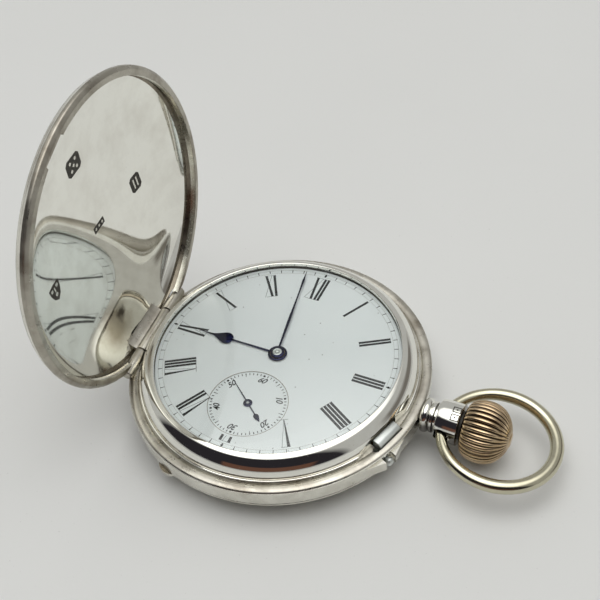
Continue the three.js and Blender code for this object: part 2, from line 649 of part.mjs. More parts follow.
function topPlate() {
  const plate = disc(PLATE_RADIUS, TOP_PLATE, CASE_FACETS);
  const [bx, by] = BALANCE;
  const window = at(disc(BALANCE_WINDOW, [3, 6], PLATE_FACETS), bx, by);
  const windingSlot = box([15, 21], [-PINION_SLOT, PINION_SLOT], [3, 6]);
  const pivots = [THIRD, FOURTH, ESCAPE].map((spot) => pivotHole(spot, 0.25, TOP_PLATE));
  const screwHoles = PILLARS.map((spot) => pivotHole(spot, 0.5, TOP_PLATE));
  return cutBy(
    plate,
    window,
    windingSlot,
    ...pivots,
    ...screwHoles,
    pivotHole(CENTRE, 0.35, TOP_PLATE),
    pivotHole(BARREL_AT, 1.05, TOP_PLATE),
    pivotHole(CROWN_WHEEL_AT, 0.6, TOP_PLATE),
    pivotHole(COCK_FOOT, 0.45, TOP_PLATE),
  );
}

// A bridge outline: a round head and a round foot joined by a waist.
function bridgeOutline([hx, hy], headRadius, [fx, fy], footRadius) {
  const length = Math.hypot(fx - hx, fy - hy);
  const lean = Math.asin((headRadius - footRadius) / length);
  const heading = Math.atan2(fy - hy, fx - hx);
  const outline = new THREE.Shape();
  outline.absarc(hx, hy, headRadius, heading + Math.PI / 2 - lean, heading - Math.PI / 2 + lean);
  outline.absarc(fx, fy, footRadius, heading - Math.PI / 2 + lean, heading + Math.PI / 2 - lean);
  return outline;
}

const COCK_SCREW_HEAD = [2.72, 3];

function balanceCock() {
  const [fx, fy] = COCK_FOOT;
  const foot = at(disc(1.6, [BALANCE_COCK[1] - 0.1, TOP_PLATE[0] - 0.02]), fx, fy);
  const arm = raised(bridgeOutline(BALANCE, 2.6, COCK_FOOT, 1.6), BALANCE_COCK);
  return cutBy(
    joined(arm, foot),
    pivotHole(BALANCE, 0.7, BALANCE_COCK),
    pivotHole(COCK_FOOT, 0.45, BALANCE_COCK),
    at(disc(1, [2, COCK_SCREW_HEAD[1] + 0.05]), fx, fy),
  );
}

function palletCock() {
  const [fx, fy] = PALLET_FOOT;
  const arm = raised(bridgeOutline(PALLET, 0.9, PALLET_FOOT, 1.1), [5.3, 5.65]);
  const foot = at(disc(1.1, [5.6, MAIN_PLATE[0] - 0.02]), fx, fy);
  return cutBy(joined(arm, foot), pivotHole(PALLET, 0.2, [5.3, 5.5]));
}

// A slotted screw with its head towards the back.
function screw(headRadius, shankRadius, headSpan, shankEnd) {
  const slot = box([-headRadius, headRadius], [-0.12, 0.12], [headSpan[0] - 0.5, headSpan[0] + 0.15]);
  const shank = disc(shankRadius, [headSpan[1] - 0.05, shankEnd], PIN_FACETS);
  return cutBy(joined(disc(headRadius, headSpan), shank), slot);
}

// ---------------------------------------------------------------- going train and escapement
const BARREL_WALL_TOP = 7.1;
const BARREL_BORE_RADIUS = 0.85;

function barrelDrum() {
  const outer = pitchRadius(BARREL) - toothHeight.root * BARREL.module - 0.1;
  const wall = 0.45;
  const floorTop = BARREL.z[0] + 0.35;
  return cutBy(
    joined(
      disc(outer, [BARREL.z[0], BARREL_WALL_TOP], PLATE_FACETS),
      raised(gearOutline(BARREL, phases.barrel), BARREL.z),
    ),
    disc(outer - wall, [floorTop, BARREL_WALL_TOP + 1], PLATE_FACETS),
    disc(BARREL_BORE_RADIUS, [BARREL.z[0] - 1, floorTop + 0.1], PIN_FACETS),
  );
}

function spiral(inner, outer, turns, stepsPerTurn, thickness) {
  const steps = turns * stepsPerTurn;
  const edge = (side) => Array.from({ length: steps + 1 }, (_, i) => polar(
    inner + ((outer - inner) * i) / steps + (side * thickness) / 2,
    (360 * i) / stepsPerTurn,
  ));
  return [...edge(1), ...edge(-1).reverse()];
}

function escapeWheel() {
  const points = [];
  const teeth = 15;
  for (let i = 0; i < teeth; i += 1) {
    const angle = (360 * i) / teeth;
    points.push(polar(2.95, angle));
    points.push(polar(2.3, angle + 5));
    points.push(polar(2.15, angle + 17));
  }
  const z = [6.28, 6.48];
  return cutBy(raised(points, z), crossings(1, 1.8, z, 0.4), disc(0.28, [5, 7], PIN_FACETS));
}

// The lever: two stone-holding arms that reach over the escape wheel and a forked tail.
function palletFork() {
  const [px, py] = PALLET;
  const toEscape = Math.atan2(ESCAPE[1] - py, ESCAPE[0] - px) / RAD;
  const toBalance = Math.atan2(BALANCE[1] - py, BALANCE[0] - px) / RAD;
  const reach = Math.hypot(BALANCE[0] - px, BALANCE[1] - py);
  const arms = turnZ(raised([[-0.5, -2.1], [0.15, -2.35], [0.55, -1.9], [0.1, -0.5], [0.1, 0.5], [0.55, 1.9],
    [0.15, 2.35], [-0.5, 2.1]], [6.25, 6.5]), toEscape);
  const tail = turnZ(raised([[0, -0.25], [reach - 1.2, -0.2], [reach - 0.7, -0.6], [reach - 0.55, -0.2],
    [reach - 0.95, 0], [reach - 0.55, 0.2], [reach - 0.7, 0.6], [reach - 1.2, 0.2], [0, 0.25]],
  [6.25, 6.5]), toBalance);
  const hub = disc(0.6, [6.25, 6.5]);
  return at(cutBy(joined(arms, tail, hub), disc(0.2, [5, 7], PIN_FACETS)), px, py);
}

function palletArbor() {
  const [px, py] = PALLET;
  return at(joined(disc(0.17, [5.75, 7.3], PIN_FACETS), disc(0.1, [5.4, 7.7], 8)), px, py);
}

function balanceWheel() {
  const [bx, by] = BALANCE;
  const rim = ring(5.9, 6.6, BALANCE_RIM, PLATE_FACETS);
  const arm = box([-6.1, 6.1], [-0.45, 0.45], [BALANCE_RIM[0] + 0.15, BALANCE_RIM[1] - 0.2]);
  const screwAngles = [30, 65, 115, 150].flatMap((angle) => [angle, angle + 180]);
  const screws = screwAngles.map((angle) => {
    const body = disc(0.24, [6.4, 7], 6).rotate([0, 90, 0]);
    return turnZ(at(body, 0, 0, 4.35), angle);
  });
  const hub = disc(0.8, [BALANCE_RIM[0] + 0.1, BALANCE_RIM[1] - 0.1]);
  const whole = joined(rim, turnZ(arm, 35), hub, ...screws);
  return at(cutBy(whole, disc(0.33, [3, 6], PIN_FACETS)), bx, by);
}

function balanceStaff() {
  const [bx, by] = BALANCE;
  const roller = disc(1.3, [5.85, 6.05]);
  const impulsePin = at(disc(0.13, [6, 6.2], 8), -0.95, 0);
  return at(joined(disc(0.3, [3.5, 6.6], PIN_FACETS), disc(0.1, [3.1, 7.7], 8), roller, impulsePin), bx, by);
}

// ---------------------------------------------------------------- dial, hands and motion work
const SUBDIAL_RADIUS = 6.6;
const SUBDIAL_DEPTH = 0.12;

function dial() {
  const body = disc(DIAL_RADIUS, [9.4, DIAL_TOP], CASE_FACETS);
  const [fx, fy] = FOURTH;
  const sunk = at(disc(SUBDIAL_RADIUS, [DIAL_TOP - SUBDIAL_DEPTH, DIAL_TOP + 1], PLATE_FACETS), fx, fy);
  return cutBy(body, sunk, pivotHole(FOURTH, 0.4, [9, 11]), pivotHole(CENTRE, 1.5, [9, 11]));
}

const HOUR_HAND = { azimuth: 179.8, z: [10.22, 10.34], boss: 1.62, bore: 1.3 };
const MINUTE_HAND = { azimuth: 100.2, z: [10.5, 10.62], boss: 1.2, bore: 0.78 };
const SECONDS_HAND = { azimuth: 142, z: [9.98, 10.06], boss: 0.75, bore: 0.27 };

// A hand's half outline is mirrored about its length, which runs along +X.
function hand(half, { azimuth, z, boss, bore }) {
  const mirrored = half.map(([x, y]) => [x, -y]).reverse().filter(([, y]) => y !== 0);
  const blade = raised([...half, ...mirrored], z);
  const bossDisc = disc(boss, [z[0], z[1] + 0.05]);
  const hole = disc(bore, [z[0] - 1, z[1] + 1]);
  return turnZ(cutBy(joined(blade, bossDisc), hole), azimuth);
}

// A thin neck, a round-backed teardrop and a fine point.
const hourHand = () => hand([[0, 0.18], [8.6, 0.16], [8.8, 0.6], [9.3, 1.08], [9.9, 1.2], [10.6, 1],
  [11.4, 0.55], [12.3, 0.18], [13.4, 0.12], [15.2, 0]], HOUR_HAND);

// A slender poker that swells near its root and again near its point.
const minuteHand = () => hand([[0, 0.17], [7.5, 0.23], [13.5, 0.12], [17.4, 0.2], [18.6, 0.09], [19.8, 0]],
  MINUTE_HAND);

function secondsHand() {
  const [fx, fy] = FOURTH;
  const blade = hand([[-4.4, 0], [-3.9, 0.24], [-3.2, 0.42], [-2.75, 0.3], [-2.6, 0.09], [0, 0.1], [6, 0]],
    SECONDS_HAND);
  return at(blade, fx, fy);
}

function cannonPinion() {
  const leaves = raised(gearOutline(CANNON_PINION, phases.cannonPinion), CANNON_PINION.z);
  const tube = disc(0.7, [CANNON_PINION.z[0], 10.75]);
  return cutBy(joined(leaves, tube), disc(0.45, [8, 12], PIN_FACETS));
}

function minuteWheel() {
  const [mx, my] = MINUTE_WHEEL_AT;
  const gear = joined(
    wheel(MINUTE_WHEEL, phases.minuteWheel, 0.3, { solid: true }),
    cutBy(
      raised(gearOutline(MINUTE_PINION, phases.minutePinion), MINUTE_PINION.z),
      disc(0.3, [8, 10], PIN_FACETS),
    ),
  );
  return at(gear, mx, my);
}

function hourWheel() {
  const pipe = disc(1.22, [HOUR_WHEEL.z[0], 10.4]);
  return cutBy(joined(wheel(HOUR_WHEEL, phases.hourWheel, 0.8, { solid: true }), pipe), disc(0.8, [8, 12]));
}

function centreArbor() {
  const leaves = raised(gearOutline(CENTRE_PINION, phases.centrePinion), CENTRE_PINION.z);
  return joined(leaves, disc(0.4, [4.85, 10.85], PIN_FACETS), disc(0.3, PIVOT_SPAN, PIN_FACETS));
}

function fourthArbor() {
  const leaves = raised(gearOutline(FOURTH_PINION, phases.fourthPinion), FOURTH_PINION.z);
  return joined(leaves, disc(ARBOR_RADIUS, [5.2, 7.15], PIN_FACETS), disc(0.24, [4.3, 10.15], PIN_FACETS));
}

function barrelArbor() {
  const square = disc(0.95, [WINDING_WHEELS[0], 5.45], 4);
  return joined(square, disc(0.75, [5.3, 8.2], PIN_FACETS));
}

// The winding pinion stands on the stem's square; its teeth run under the crown wheel's rim.
function windingPinion() {
  const body = raised(gearOutline(WINDING_PINION, 0), [15.6, 17.6]);
  return alongPendant(cutBy(body, box([-0.42, 0.42], [-0.42, 0.42], [15, 19])));
}

function click() {
  const gear = pitchRadius(RATCHET_WHEEL);
  const tip = offset(BARREL_AT, gear + 0.2, 148);
  const pivot = offset(BARREL_AT, gear + 1.7, 122);
  const lever = raised([offset(pivot, 0.7, 200), tip, offset(tip, 0.45, 120), offset(pivot, 0.8, 150),
    offset(pivot, 0.8, 60), offset(pivot, 0.8, -20), offset(pivot, 0.8, -90)], [3.35, 3.8]);
  return lever;
}

// ---------------------------------------------------------------- assembly
addPiece('case_band', caseBand(), SILVER);
addPiece('bezel', bezel(), SILVER);
addPiece('crystal', crystal(), GLASS);
addPiece('pendant', pendant(), SILVER);
addPiece('lid_hinge_pin', toLidSide(onHinge(hingePin(), HINGE_CHORD, LID_HINGE_Z)), STEEL);
addPiece('back_hinge_pin', toTwelve(onHinge(hingePin(), HINGE_CHORD, BACK_HINGE_Z)), STEEL);
const cuvettePin = rod(CUVETTE_PIN.radius, CUVETTE_PIN.halfLength, PIN_FACETS);
addPiece('cuvette_hinge_pin', toTwelve(onCuvetteHinge(cuvettePin)), STEEL);
addPiece('lid_fly_spring', flySpring(), BLUED_STEEL);

const lidSide = new THREE.Group();
lidSide.rotation.z = LID_HINGE_AZIMUTH_DEG * RAD;
const lidPivot = new THREE.Group();
lidPivot.position.set(-HINGE_CHORD, 0, LID_HINGE_Z);
lidPivot.rotation.y = -LID_OPEN_DEG * RAD;
watch.add(lidSide);
lidSide.add(lidPivot);
addPiece('front_lid', shutLid(), SILVER, lidPivot).position.set(HINGE_CHORD, 0, -LID_HINGE_Z);

addPiece('back_cover', backCover(), SILVER);
addPiece('cuvette', cuvette(), SILVER);
addPiece('bow', bow(), NICKEL_WIRE);
addPiece('crown', crown(), GOLD);
addPiece('winding_stem', windingStem(), STEEL);
addPiece('stem_sleeve', stemSleeve(), STEEL);
addPiece('lock_spring', lockSpring(), STEEL);
addPiece('push_piece', pushPiece(), STEEL);

addPiece('main_plate', mainPlate(), GILT);
addPiece('top_plate', topPlate(), GILT);
addPiece('balance_cock', balanceCock(), GILT);
addPiece('pallet_cock', palletCock(), GILT);
PILLARS.forEach(([x, y], i) => {
  addPiece(`plate_screw_${i + 1}`, at(screw(0.95, 0.4, [3.45, 3.85], 4.7), x, y), BLUED_STEEL);
});
addPiece('cock_screw', at(screw(0.85, 0.35, COCK_SCREW_HEAD, 4.6), ...COCK_FOOT), BLUED_STEEL);
addPiece('balance_jewel', at(ring(0.16, 0.62, [2.85, 3.3]), ...BALANCE), RUBY);

const crownWheel = wheel(CROWN_WHEEL, phases.crownWheel, 0.6, { solid: true });
const ratchetBlank = wheel(RATCHET_WHEEL, phases.ratchetWheel, 0.3, { solid: true });
const squareHole = disc(1, [WINDING_WHEELS[0] - 1, WINDING_WHEELS[1] + 1], 4);
addPiece('winding_pinion', windingPinion(), STEEL);
addPiece('crown_wheel', at(crownWheel, ...CROWN_WHEEL_AT), STEEL);
addPiece('crown_wheel_screw', at(screw(1.5, 0.5, [2.95, 3.27], 4.7), ...CROWN_WHEEL_AT), STEEL);
addPiece('ratchet_wheel', at(cutBy(ratchetBlank, squareHole), ...BARREL_AT), STEEL);
addPiece('ratchet_screw', at(screw(1.5, 0.5, [2.8, 3.26], 3.27), ...BARREL_AT), STEEL);
addPiece('barrel_arbor', at(barrelArbor(), ...BARREL_AT), STEEL);
addPiece('click', click(), STEEL);

const coverSpan = [BARREL_WALL_TOP + 0.03, BARREL_WALL_TOP + 0.2];
const barrelCover = ring(BARREL_BORE_RADIUS, 6.8, coverSpan, PLATE_FACETS);
const mainspring = raised(spiral(1.2, 6.3, 4, 12, 0.35), [BARREL.z[0] + 0.45, BARREL_WALL_TOP - 0.1]);
addPiece('barrel_drum', at(barrelDrum(), ...BARREL_AT), BRASS);
addPiece('barrel_cover', at(barrelCover, ...BARREL_AT), BRASS);
addPiece('mainspring', at(mainspring, ...BARREL_AT), BLUED_STEEL);

const thirdPinion = pinionOnArbor(THIRD_PINION, phases.thirdPinion, ARBOR_RADIUS, PIVOT_SPAN);
const escapePinion = pinionOnArbor(ESCAPE_PINION, phases.escapePinion, 0.25, PIVOT_SPAN);
addPiece('centre_wheel', wheel(CENTRE_WHEEL, phases.centreWheel, 0.43), BRASS);
addPiece('centre_arbor', centreArbor(), STEEL);
addPiece('third_wheel', at(wheel(THIRD_WHEEL, phases.thirdWheel, WHEEL_BORE), ...THIRD), BRASS);
addPiece('third_pinion', at(thirdPinion, ...THIRD), STEEL);
addPiece('fourth_wheel', at(wheel(FOURTH_WHEEL, phases.fourthWheel, WHEEL_BORE), ...FOURTH), BRASS);
addPiece('fourth_arbor', at(fourthArbor(), ...FOURTH), STEEL);
addPiece('seconds_hand', secondsHand(), BLUED_STEEL);
addPiece('escape_wheel', at(escapeWheel(), ...ESCAPE), STEEL);
addPiece('escape_pinion', at(escapePinion, ...ESCAPE), STEEL);
addPiece('pallet_fork', palletFork(), STEEL);
addPiece('pallet_arbor', palletArbor(), STEEL);
addPiece('balance_wheel', balanceWheel(), BRASS);
addPiece('balance_staff', balanceStaff(), STEEL);
addPiece('hairspring', at(raised(spiral(0.75, 3.2, 4, 12, 0.14), [3.6, 3.8]), ...BALANCE), BLUED_STEEL);

addPiece('dial', dial(), ENAMEL);
addPiece('cannon_pinion', cannonPinion(), STEEL);
addPiece('minute_hand', minuteHand(), BLUED_STEEL);
addPiece('minute_wheel', minuteWheel(), BRASS);
addPiece('hour_wheel', hourWheel(), BRASS);
addPiece('hour_hand', hourHand(), BLUED_STEEL);

export default watch;
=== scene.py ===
import json
import math

import bmesh
import bpy
from mathutils import Matrix, Vector

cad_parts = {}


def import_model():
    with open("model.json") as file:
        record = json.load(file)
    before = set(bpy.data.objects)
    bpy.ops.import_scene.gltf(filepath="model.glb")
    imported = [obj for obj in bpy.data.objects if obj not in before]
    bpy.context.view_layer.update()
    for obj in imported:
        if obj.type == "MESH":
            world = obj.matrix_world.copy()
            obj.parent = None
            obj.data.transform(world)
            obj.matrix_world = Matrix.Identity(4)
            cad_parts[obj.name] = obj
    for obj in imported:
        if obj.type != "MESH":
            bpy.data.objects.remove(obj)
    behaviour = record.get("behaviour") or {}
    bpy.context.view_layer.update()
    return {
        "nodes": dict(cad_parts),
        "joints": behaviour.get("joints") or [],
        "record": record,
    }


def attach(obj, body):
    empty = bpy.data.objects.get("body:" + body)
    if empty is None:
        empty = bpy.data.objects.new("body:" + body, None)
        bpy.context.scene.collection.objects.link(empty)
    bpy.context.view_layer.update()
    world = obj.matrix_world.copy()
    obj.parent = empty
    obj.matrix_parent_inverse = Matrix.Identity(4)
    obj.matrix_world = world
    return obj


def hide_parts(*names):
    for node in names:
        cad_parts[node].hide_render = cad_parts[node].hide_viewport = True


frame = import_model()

# ---- driving dimensions
MM = 0.001
CASE_RADIUS = 25.9
BAND_BOTTOM = 4.56
LEDGE = 7.7
SEAT_OUTER = 22.3
SEAT_TOP = 9.4
DIAL_TOP = 10
DIAL_RADIUS = 21
SUBDIAL_RADIUS = 6.6
SUBDIAL_FLOOR = 9.88
KNUCKLE_RADIUS = 1
HINGE_HALF_LENGTH = 10.75
MIDDLE_KNUCKLE = 4.85
HINGE_CLEARANCE_RADIUS = 1.3
CATCH_AZIMUTH = -18.2
PUSH_AZIMUTH = -23.5
PUSH_Z = 5.8
THUMB_LIP_AZIMUTH = -111
PENDANT_Z = 6
BOW_PIVOT_X = 29.9

FINE = 180
MEDIUM = 96
SMALL = 48

joints = {joint["name"]: joint for joint in frame["joints"]}


def hinge_of(name):
    """A hinge's point in millimetres and its axis."""
    joint = joints[name]
    return Vector(joint["pos_m"]) / MM, Vector(joint["axis"]).normalized()


LID_HINGE, LID_AXIS = hinge_of("lid_hinge")
BACK_HINGE, _ = hinge_of("back_cover_hinge")
CUVETTE_HINGE, _ = hinge_of("cuvette_hinge")
SECONDS_AT, _ = hinge_of("seconds_hand_turn")
HINGE_CHORD = LID_HINGE.xy.length
LID_SIDE = Matrix.Rotation(math.atan2(LID_AXIS.x, -LID_AXIS.y), 4, "Z")
TWELVE_SIDE = Matrix.Rotation(-math.pi / 2, 4, "Z")
LID_OPEN = math.radians(-joints["lid_hinge"]["range_deg"][0])
TO_LID_HINGE = Matrix.Translation(LID_HINGE)
OPENED = TO_LID_HINGE @ Matrix.Rotation(LID_OPEN, 4, LID_AXIS) @ TO_LID_HINGE.inverted()


def polar(radius, degrees):
    return radius * math.cos(math.radians(degrees)), radius * math.sin(math.radians(degrees))


def moved(x, y, z=0):
    return Matrix.Translation((x, y, z))


def turn(degrees, axis="Z"):
    return Matrix.Rotation(math.radians(degrees), 4, axis)


def outwards(height, azimuth=0):
    """Lays a solid made along Z on a level line out of the case, at a height and an azimuth."""
    return turn(azimuth) @ moved(0, 0, height) @ turn(90, "Y")


def upright(half_length):
    """Stands a prism with an outline of (x, z) up across the Y axis, centred on it."""
    return moved(0, half_length) @ turn(90, "X")


def on_hinge(chord, height):
    """Lays a solid made along Z on the hinge line of the -X side."""
    return moved(-chord, 0, height) @ turn(-90, "X")


ALONG_PENDANT = outwards(PENDANT_Z)
AT_PUSH = outwards(PUSH_Z, PUSH_AZIMUTH)
AT_CATCH = turn(CATCH_AZIMUTH)
AT_SECONDS = moved(SECONDS_AT.x, SECONDS_AT.y)
AT_BOW_PIVOT = moved(BOW_PIVOT_X, 0, PENDANT_Z)


# ---- outlines
def rounded(points, steps=5):
    """A closed outline whose corners [x, y, radius] are rounded; plain [x, y] corners stay sharp."""
    outline = []
    count = len(points)
    for i, (x, y, *radius) in enumerate(points):
        corner = Vector((x, y))
        if not radius:
            outline.append(corner)
            continue
        before = Vector(tuple(points[i - 1])[:2]) - corner
        after = Vector(tuple(points[(i + 1) % count])[:2]) - corner
        half = before.angle(after) / 2
        reach = min(radius[0] / math.tan(half), 0.48 * before.length, 0.48 * after.length)
        start = corner + before.normalized() * reach
        end = corner + after.normalized() * reach
        for k in range(steps + 1):
            t = k / steps
            outline.append(start * (1 - t) ** 2 + corner * 2 * t * (1 - t) + end * t**2)
    return outline


def smooth_line(points, steps=8):
    """A Catmull-Rom curve through the points."""
    line = [Vector(p) for p in points]
    padded = [2 * line[0] - line[1], *line, 2 * line[-1] - line[-2]]
    curve = []
    for a, b, c, d in zip(padded, padded[1:], padded[2:], padded[3:]):
        for k in range(steps):
            t = k / steps
            squared = (2 * a - 5 * b + 4 * c - d) * t**2
            cubed = (3 * b - a - 3 * c + d) * t**3
            curve.append(0.5 * (2 * b + (c - a) * t + squared + cubed))
    return [*curve, line[-1]]


GENTLE_RADIUS = 18


def dome(crown, first_radius, last_radius, gentle, steep, steep_radius, power, steps=60):
    """A dome's section: a bowl gentle high at GENTLE_RADIUS, with a shoulder steep high at steep_radius."""
    section = []
    for k in range(steps + 1):
        radius = first_radius + (last_radius - first_radius) * k / steps
        height = crown + gentle * (radius / GENTLE_RADIUS) ** 2 + steep * (radius / steep_radius) ** power
        section.append(Vector((radius, height)))
    return section


def rectangle(x0, x1, y0, y1):
    return [(x0, y0), (x1, y0), (x1, y1), (x0, y1)]


def spun(outline, degrees, centre=(0, 0)):
    """An outline of (x, y) turned about the origin, then moved to the centre."""
    spin = turn(degrees)
    return [tuple((spin @ Vector((x, y, 0))).xy + Vector(centre)) for x, y in outline]


# ---- meshes
def linked(name, data):
    made = bpy.data.objects.new(name, data)
    bpy.context.scene.collection.objects.link(made)
    return made


def to_object(name, build, matrix=Matrix.Identity(4)):
    """A linked object from a bmesh in millimetres, placed by a matrix in millimetres."""
    bmesh.ops.transform(build, matrix=matrix, verts=build.verts)
    bmesh.ops.scale(build, vec=(MM, MM, MM), verts=build.verts)
    bmesh.ops.recalc_face_normals(build, faces=build.faces)
    mesh = bpy.data.meshes.new(name)
    build.to_mesh(mesh)
    build.free()
    return linked(name, mesh)


def bridge(build, lower, upper):
    """The faces between two rings of vertices; a ring that is one vertex repeated gives triangles."""
    for k in range(len(lower)):
        after = (k + 1) % len(lower)
        corners = list(dict.fromkeys((lower[k], lower[after], upper[after], upper[k])))
        if len(corners) > 2:
            build.faces.new(corners)


ON_AXIS = 1e-6


def turned(outline, segments=FINE):
    """A bmesh revolved about Z from a closed outline of (radius, height); points on the axis close it."""
    build = bmesh.new()
    rings = []
    for radius, height in outline:
        if radius < ON_AXIS:
            rings.append([build.verts.new((0, 0, height))] * segments)
            continue
        ring = []
        for k in range(segments):
            angle = 2 * math.pi * k / segments
            ring.append(build.verts.new((radius * math.cos(angle), radius * math.sin(angle), height)))
        rings.append(ring)
    pairs = list(zip(rings, rings[1:]))
    if all(radius >= ON_AXIS for radius, _ in outline):
        pairs.append((rings[-1], rings[0]))
    for lower, upper in pairs:
        bridge(build, lower, upper)
    return build


def disc(radius, low, high, segments=SMALL):
    return turned([(0, low), (radius, low), (radius, high), (0, high)], segments)


def raised(outline, low, high):
    """A bmesh prism on a closed outline of (x, y)."""
    build = bmesh.new()
    bottom = [build.verts.new((x, y, low)) for x, y in outline]
    top = [build.verts.new((x, y, high)) for x, y in outline]
    build.faces.new(bottom)
    build.faces.new(top)
    bridge(build, bottom, top)
    return build


def block(x0, x1, y0, y1, z0, z1):
    return raised(rectangle(x0, x1, y0, y1), z0, z1)


def merged(*builds):
    """Several bmeshes as one, as separate shells."""
    whole = bmesh.new()
    for build in builds:
        mesh = bpy.data.meshes.new("part")
        build.to_mesh(mesh)
        build.free()
        whole.from_mesh(mesh)
        bpy.data.meshes.remove(mesh)
    return whole


def evaluated(made):
    """The mesh that an object shows with its modifiers."""
    bpy.context.view_layer.update()
    graph = bpy.context.evaluated_depsgraph_get()
    return bpy.data.meshes.new_from_object(made.evaluated_get(graph))


def apply_modifiers(made):
    mesh = evaluated(made)
    made.modifiers.clear()
    made.data = mesh
    return made


def combine(made, operation, tools):
    """Cuts or joins tools, each (bmesh,) or (bmesh, matrix) in millimetres, with an object."""
    for tool_parts in tools:
        tool = to_object("tool", *tool_parts)
        modifier = made.modifiers.new("boolean", "BOOLEAN")
        modifier.operation = operation
        modifier.solver = "EXACT"
        modifier.object = tool
        apply_modifiers(made)
        bpy.data.objects.remove(tool)


def cut(made, *tools):
    combine(made, "DIFFERENCE", tools)


def join(made, *tools):
    combine(made, "UNION", tools)


def bevelled(made, width, segments=2, angle=35):
    modifier = made.modifiers.new("bevel", "BEVEL")
    modifier.width = width * MM
    modifier.segments = segments
    modifier.limit_method = "ANGLE"
    modifier.angle_limit = math.radians(angle)
    return apply_modifiers(made)


def soften(made, sharp_deg):
    """Smooth shading, with edges sharper than the angle kept crisp."""
    build = bmesh.new()
    build.from_mesh(made.data)
    bmesh.ops.remove_doubles(build, verts=build.verts, dist=1e-7)
    bmesh.ops.recalc_face_normals(build, faces=build.faces)
    for face in build.faces:
        face.smooth = True
    for edge in build.edges:
        edge.smooth = edge.calc_face_angle(0) < math.radians(sharp_deg)
    build.to_mesh(made.data)
    build.free()


def repaint(made, material, chosen):
    """Gives the faces for which chosen(centre in mm, normal) is true a second material."""
    made.data.materials.append(material)
    index = len(made.data.materials) - 1
    for face in made.data.polygons:
        if chosen(face.center / MM, face.normal):
            face.material_index = index


def finish(made, material, body, replaces=(), sharp_deg=32):
    """Shades a piece, gives it its material and hangs it on its body."""
    soften(made, sharp_deg)
    made.data.materials.clear()
    made.data.materials.append(material)
    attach(made, body)
    if replaces:
        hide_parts(*replaces)


# ---- material nodes
def graph_of(name):
    """A new material and its object coordinates in millimetres."""
    material = bpy.data.materials.new(name)
    material.use_nodes = True
    return material, millimetres(material.node_tree)


def feed(made, inputs):
    """Fills a node's inputs: a socket is linked, and anything else is set."""
    for key, value in inputs.items():
        if isinstance(value, bpy.types.NodeSocket):
            made.id_data.links.new(value, made.inputs[key])
        else:
            made.inputs[key].default_value = value


def node(tree, kind, inputs=None, **settings):
    made = tree.nodes.new(kind)
    for key, value in settings.items():
        setattr(made, key, value)
    feed(made, inputs or {})
    return made


def millimetres(tree):
    """Object coordinates in millimetres."""
    place = node(tree, "ShaderNodeTexCoord").outputs["Object"]
    return node(tree, "ShaderNodeVectorMath", {0: place, "Scale": 1 / MM}, operation="SCALE").outputs[0]


# A socket's id_data is the node tree that it belongs to.
def stretched(vector, scale, turn=(0, 0, 0)):
    mapping = {"Vector": vector, "Scale": scale, "Rotation": turn}
    return node(vector.id_data, "ShaderNodeMapping", mapping).outputs[0]


def noise(vector, scale, detail=3, roughness=0.55):
    inputs = {"Vector": vector, "Scale": scale, "Detail": detail, "Roughness": roughness}
    return node(vector.id_data, "ShaderNodeTexNoise", inputs).outputs["Fac"]


def remap(value, from_low, from_high, to_low=0, to_high=1):
    inputs = {"Value": value, 1: from_low, 2: from_high, 3: to_low, 4: to_high}
    return node(value.id_data, "ShaderNodeMapRange", inputs).outputs[0]


def maths(operation, first, second):
    return node(first.id_data, "ShaderNodeMath", {0: first, 1: second}, operation=operation).outputs[0]


def product(first, *others):
    for other in others:
        first = maths("MULTIPLY", first, other)
    return first


def blend(share, first, second):
    """first where share is 0 and second where it is 1; a colour is a tuple or a socket."""
    ends = [(*end, 1) if isinstance(end, tuple) else end for end in (first, second)]
    inputs = {0: share, 6: ends[0], 7: ends[1]}
    return node(share.id_data, "ShaderNodeMix", inputs, data_type="RGBA").outputs[2]


def shaded(material, colour, roughness, normal, metallic=1, coat=0):
    """Fills the material's shader and gives the material back."""
    feed(material.node_tree.nodes["Principled BSDF"], {
        "Base Color": colour,
        "Roughness": roughness,
        "Normal": normal,
        "Metallic": metallic,
        "Coat Weight": coat,
        "Coat Roughness": 0.03,
    })
    return material


def hairlines(place):
    """Fine straight handling scratches in three directions: 0 on clean metal and 1 in a scratch."""
    scratches = []
    for turn in ((0.3, 0.2, 0.5), (1.1, 0.4, 1.9), (0.2, 1.3, 2.8)):
        lines = noise(stretched(place, (0.12, 9, 9), turn), 1, 2, 0.6)
        scratches.append(remap(lines, 0.66, 0.72))
    first, second, third = scratches
    return maths("MAXIMUM", maths("MAXIMUM", first, second), third)


def bump(height, strength, distance_mm):
    inputs = {"Height": height, "Strength": strength, "Distance": distance_mm * MM}
    return node(height.id_data, "ShaderNodeBump", inputs).outputs[0]


def polished_metal(name, colour, stain, roughness, stain_share=0.25, waviness=0.1, grain=30):
    """Worn polished metal: cloudy stain, small dark specks, hairline scratches and a faint waviness."""
    material, place = graph_of(name)
    cloud = remap(noise(place, 0.22, 5, 0.6), 0.42, 0.75, 0, stain_share)
    specks = remap(noise(place, 3.1, 2, 0.5), 0.7, 0.78, 0, 0.5)
    scratch = hairlines(place)
    fine = noise(place, grain, 2)
    dull = remap(noise(place, 0.6, 4, 0.6), 0.3, 0.75, roughness * 0.7, roughness * 1.5)
    dull = maths("ADD", dull, product(scratch, 0.12))
    height = maths("ADD", product(noise(place, 0.35, 2, 0.4), 1.2), product(fine, 0.03))
    height = maths("SUBTRACT", height, product(scratch, 0.05))
    stained = blend(maths("MAXIMUM", cloud, specks), colour, stain)
    return shaded(material, stained, dull, bump(height, waviness, 0.12))


def silver_base(name, stain, roughness, stain_share, waviness):
    """Mirror silver whose colour is still to be changed in places."""
    material = polished_metal(name, BRIGHT_SILVER, stain, roughness, stain_share, waviness)
    colour = material.node_tree.nodes["Principled BSDF"].inputs["Base Color"]
    return material, colour, colour.links[0].from_socket


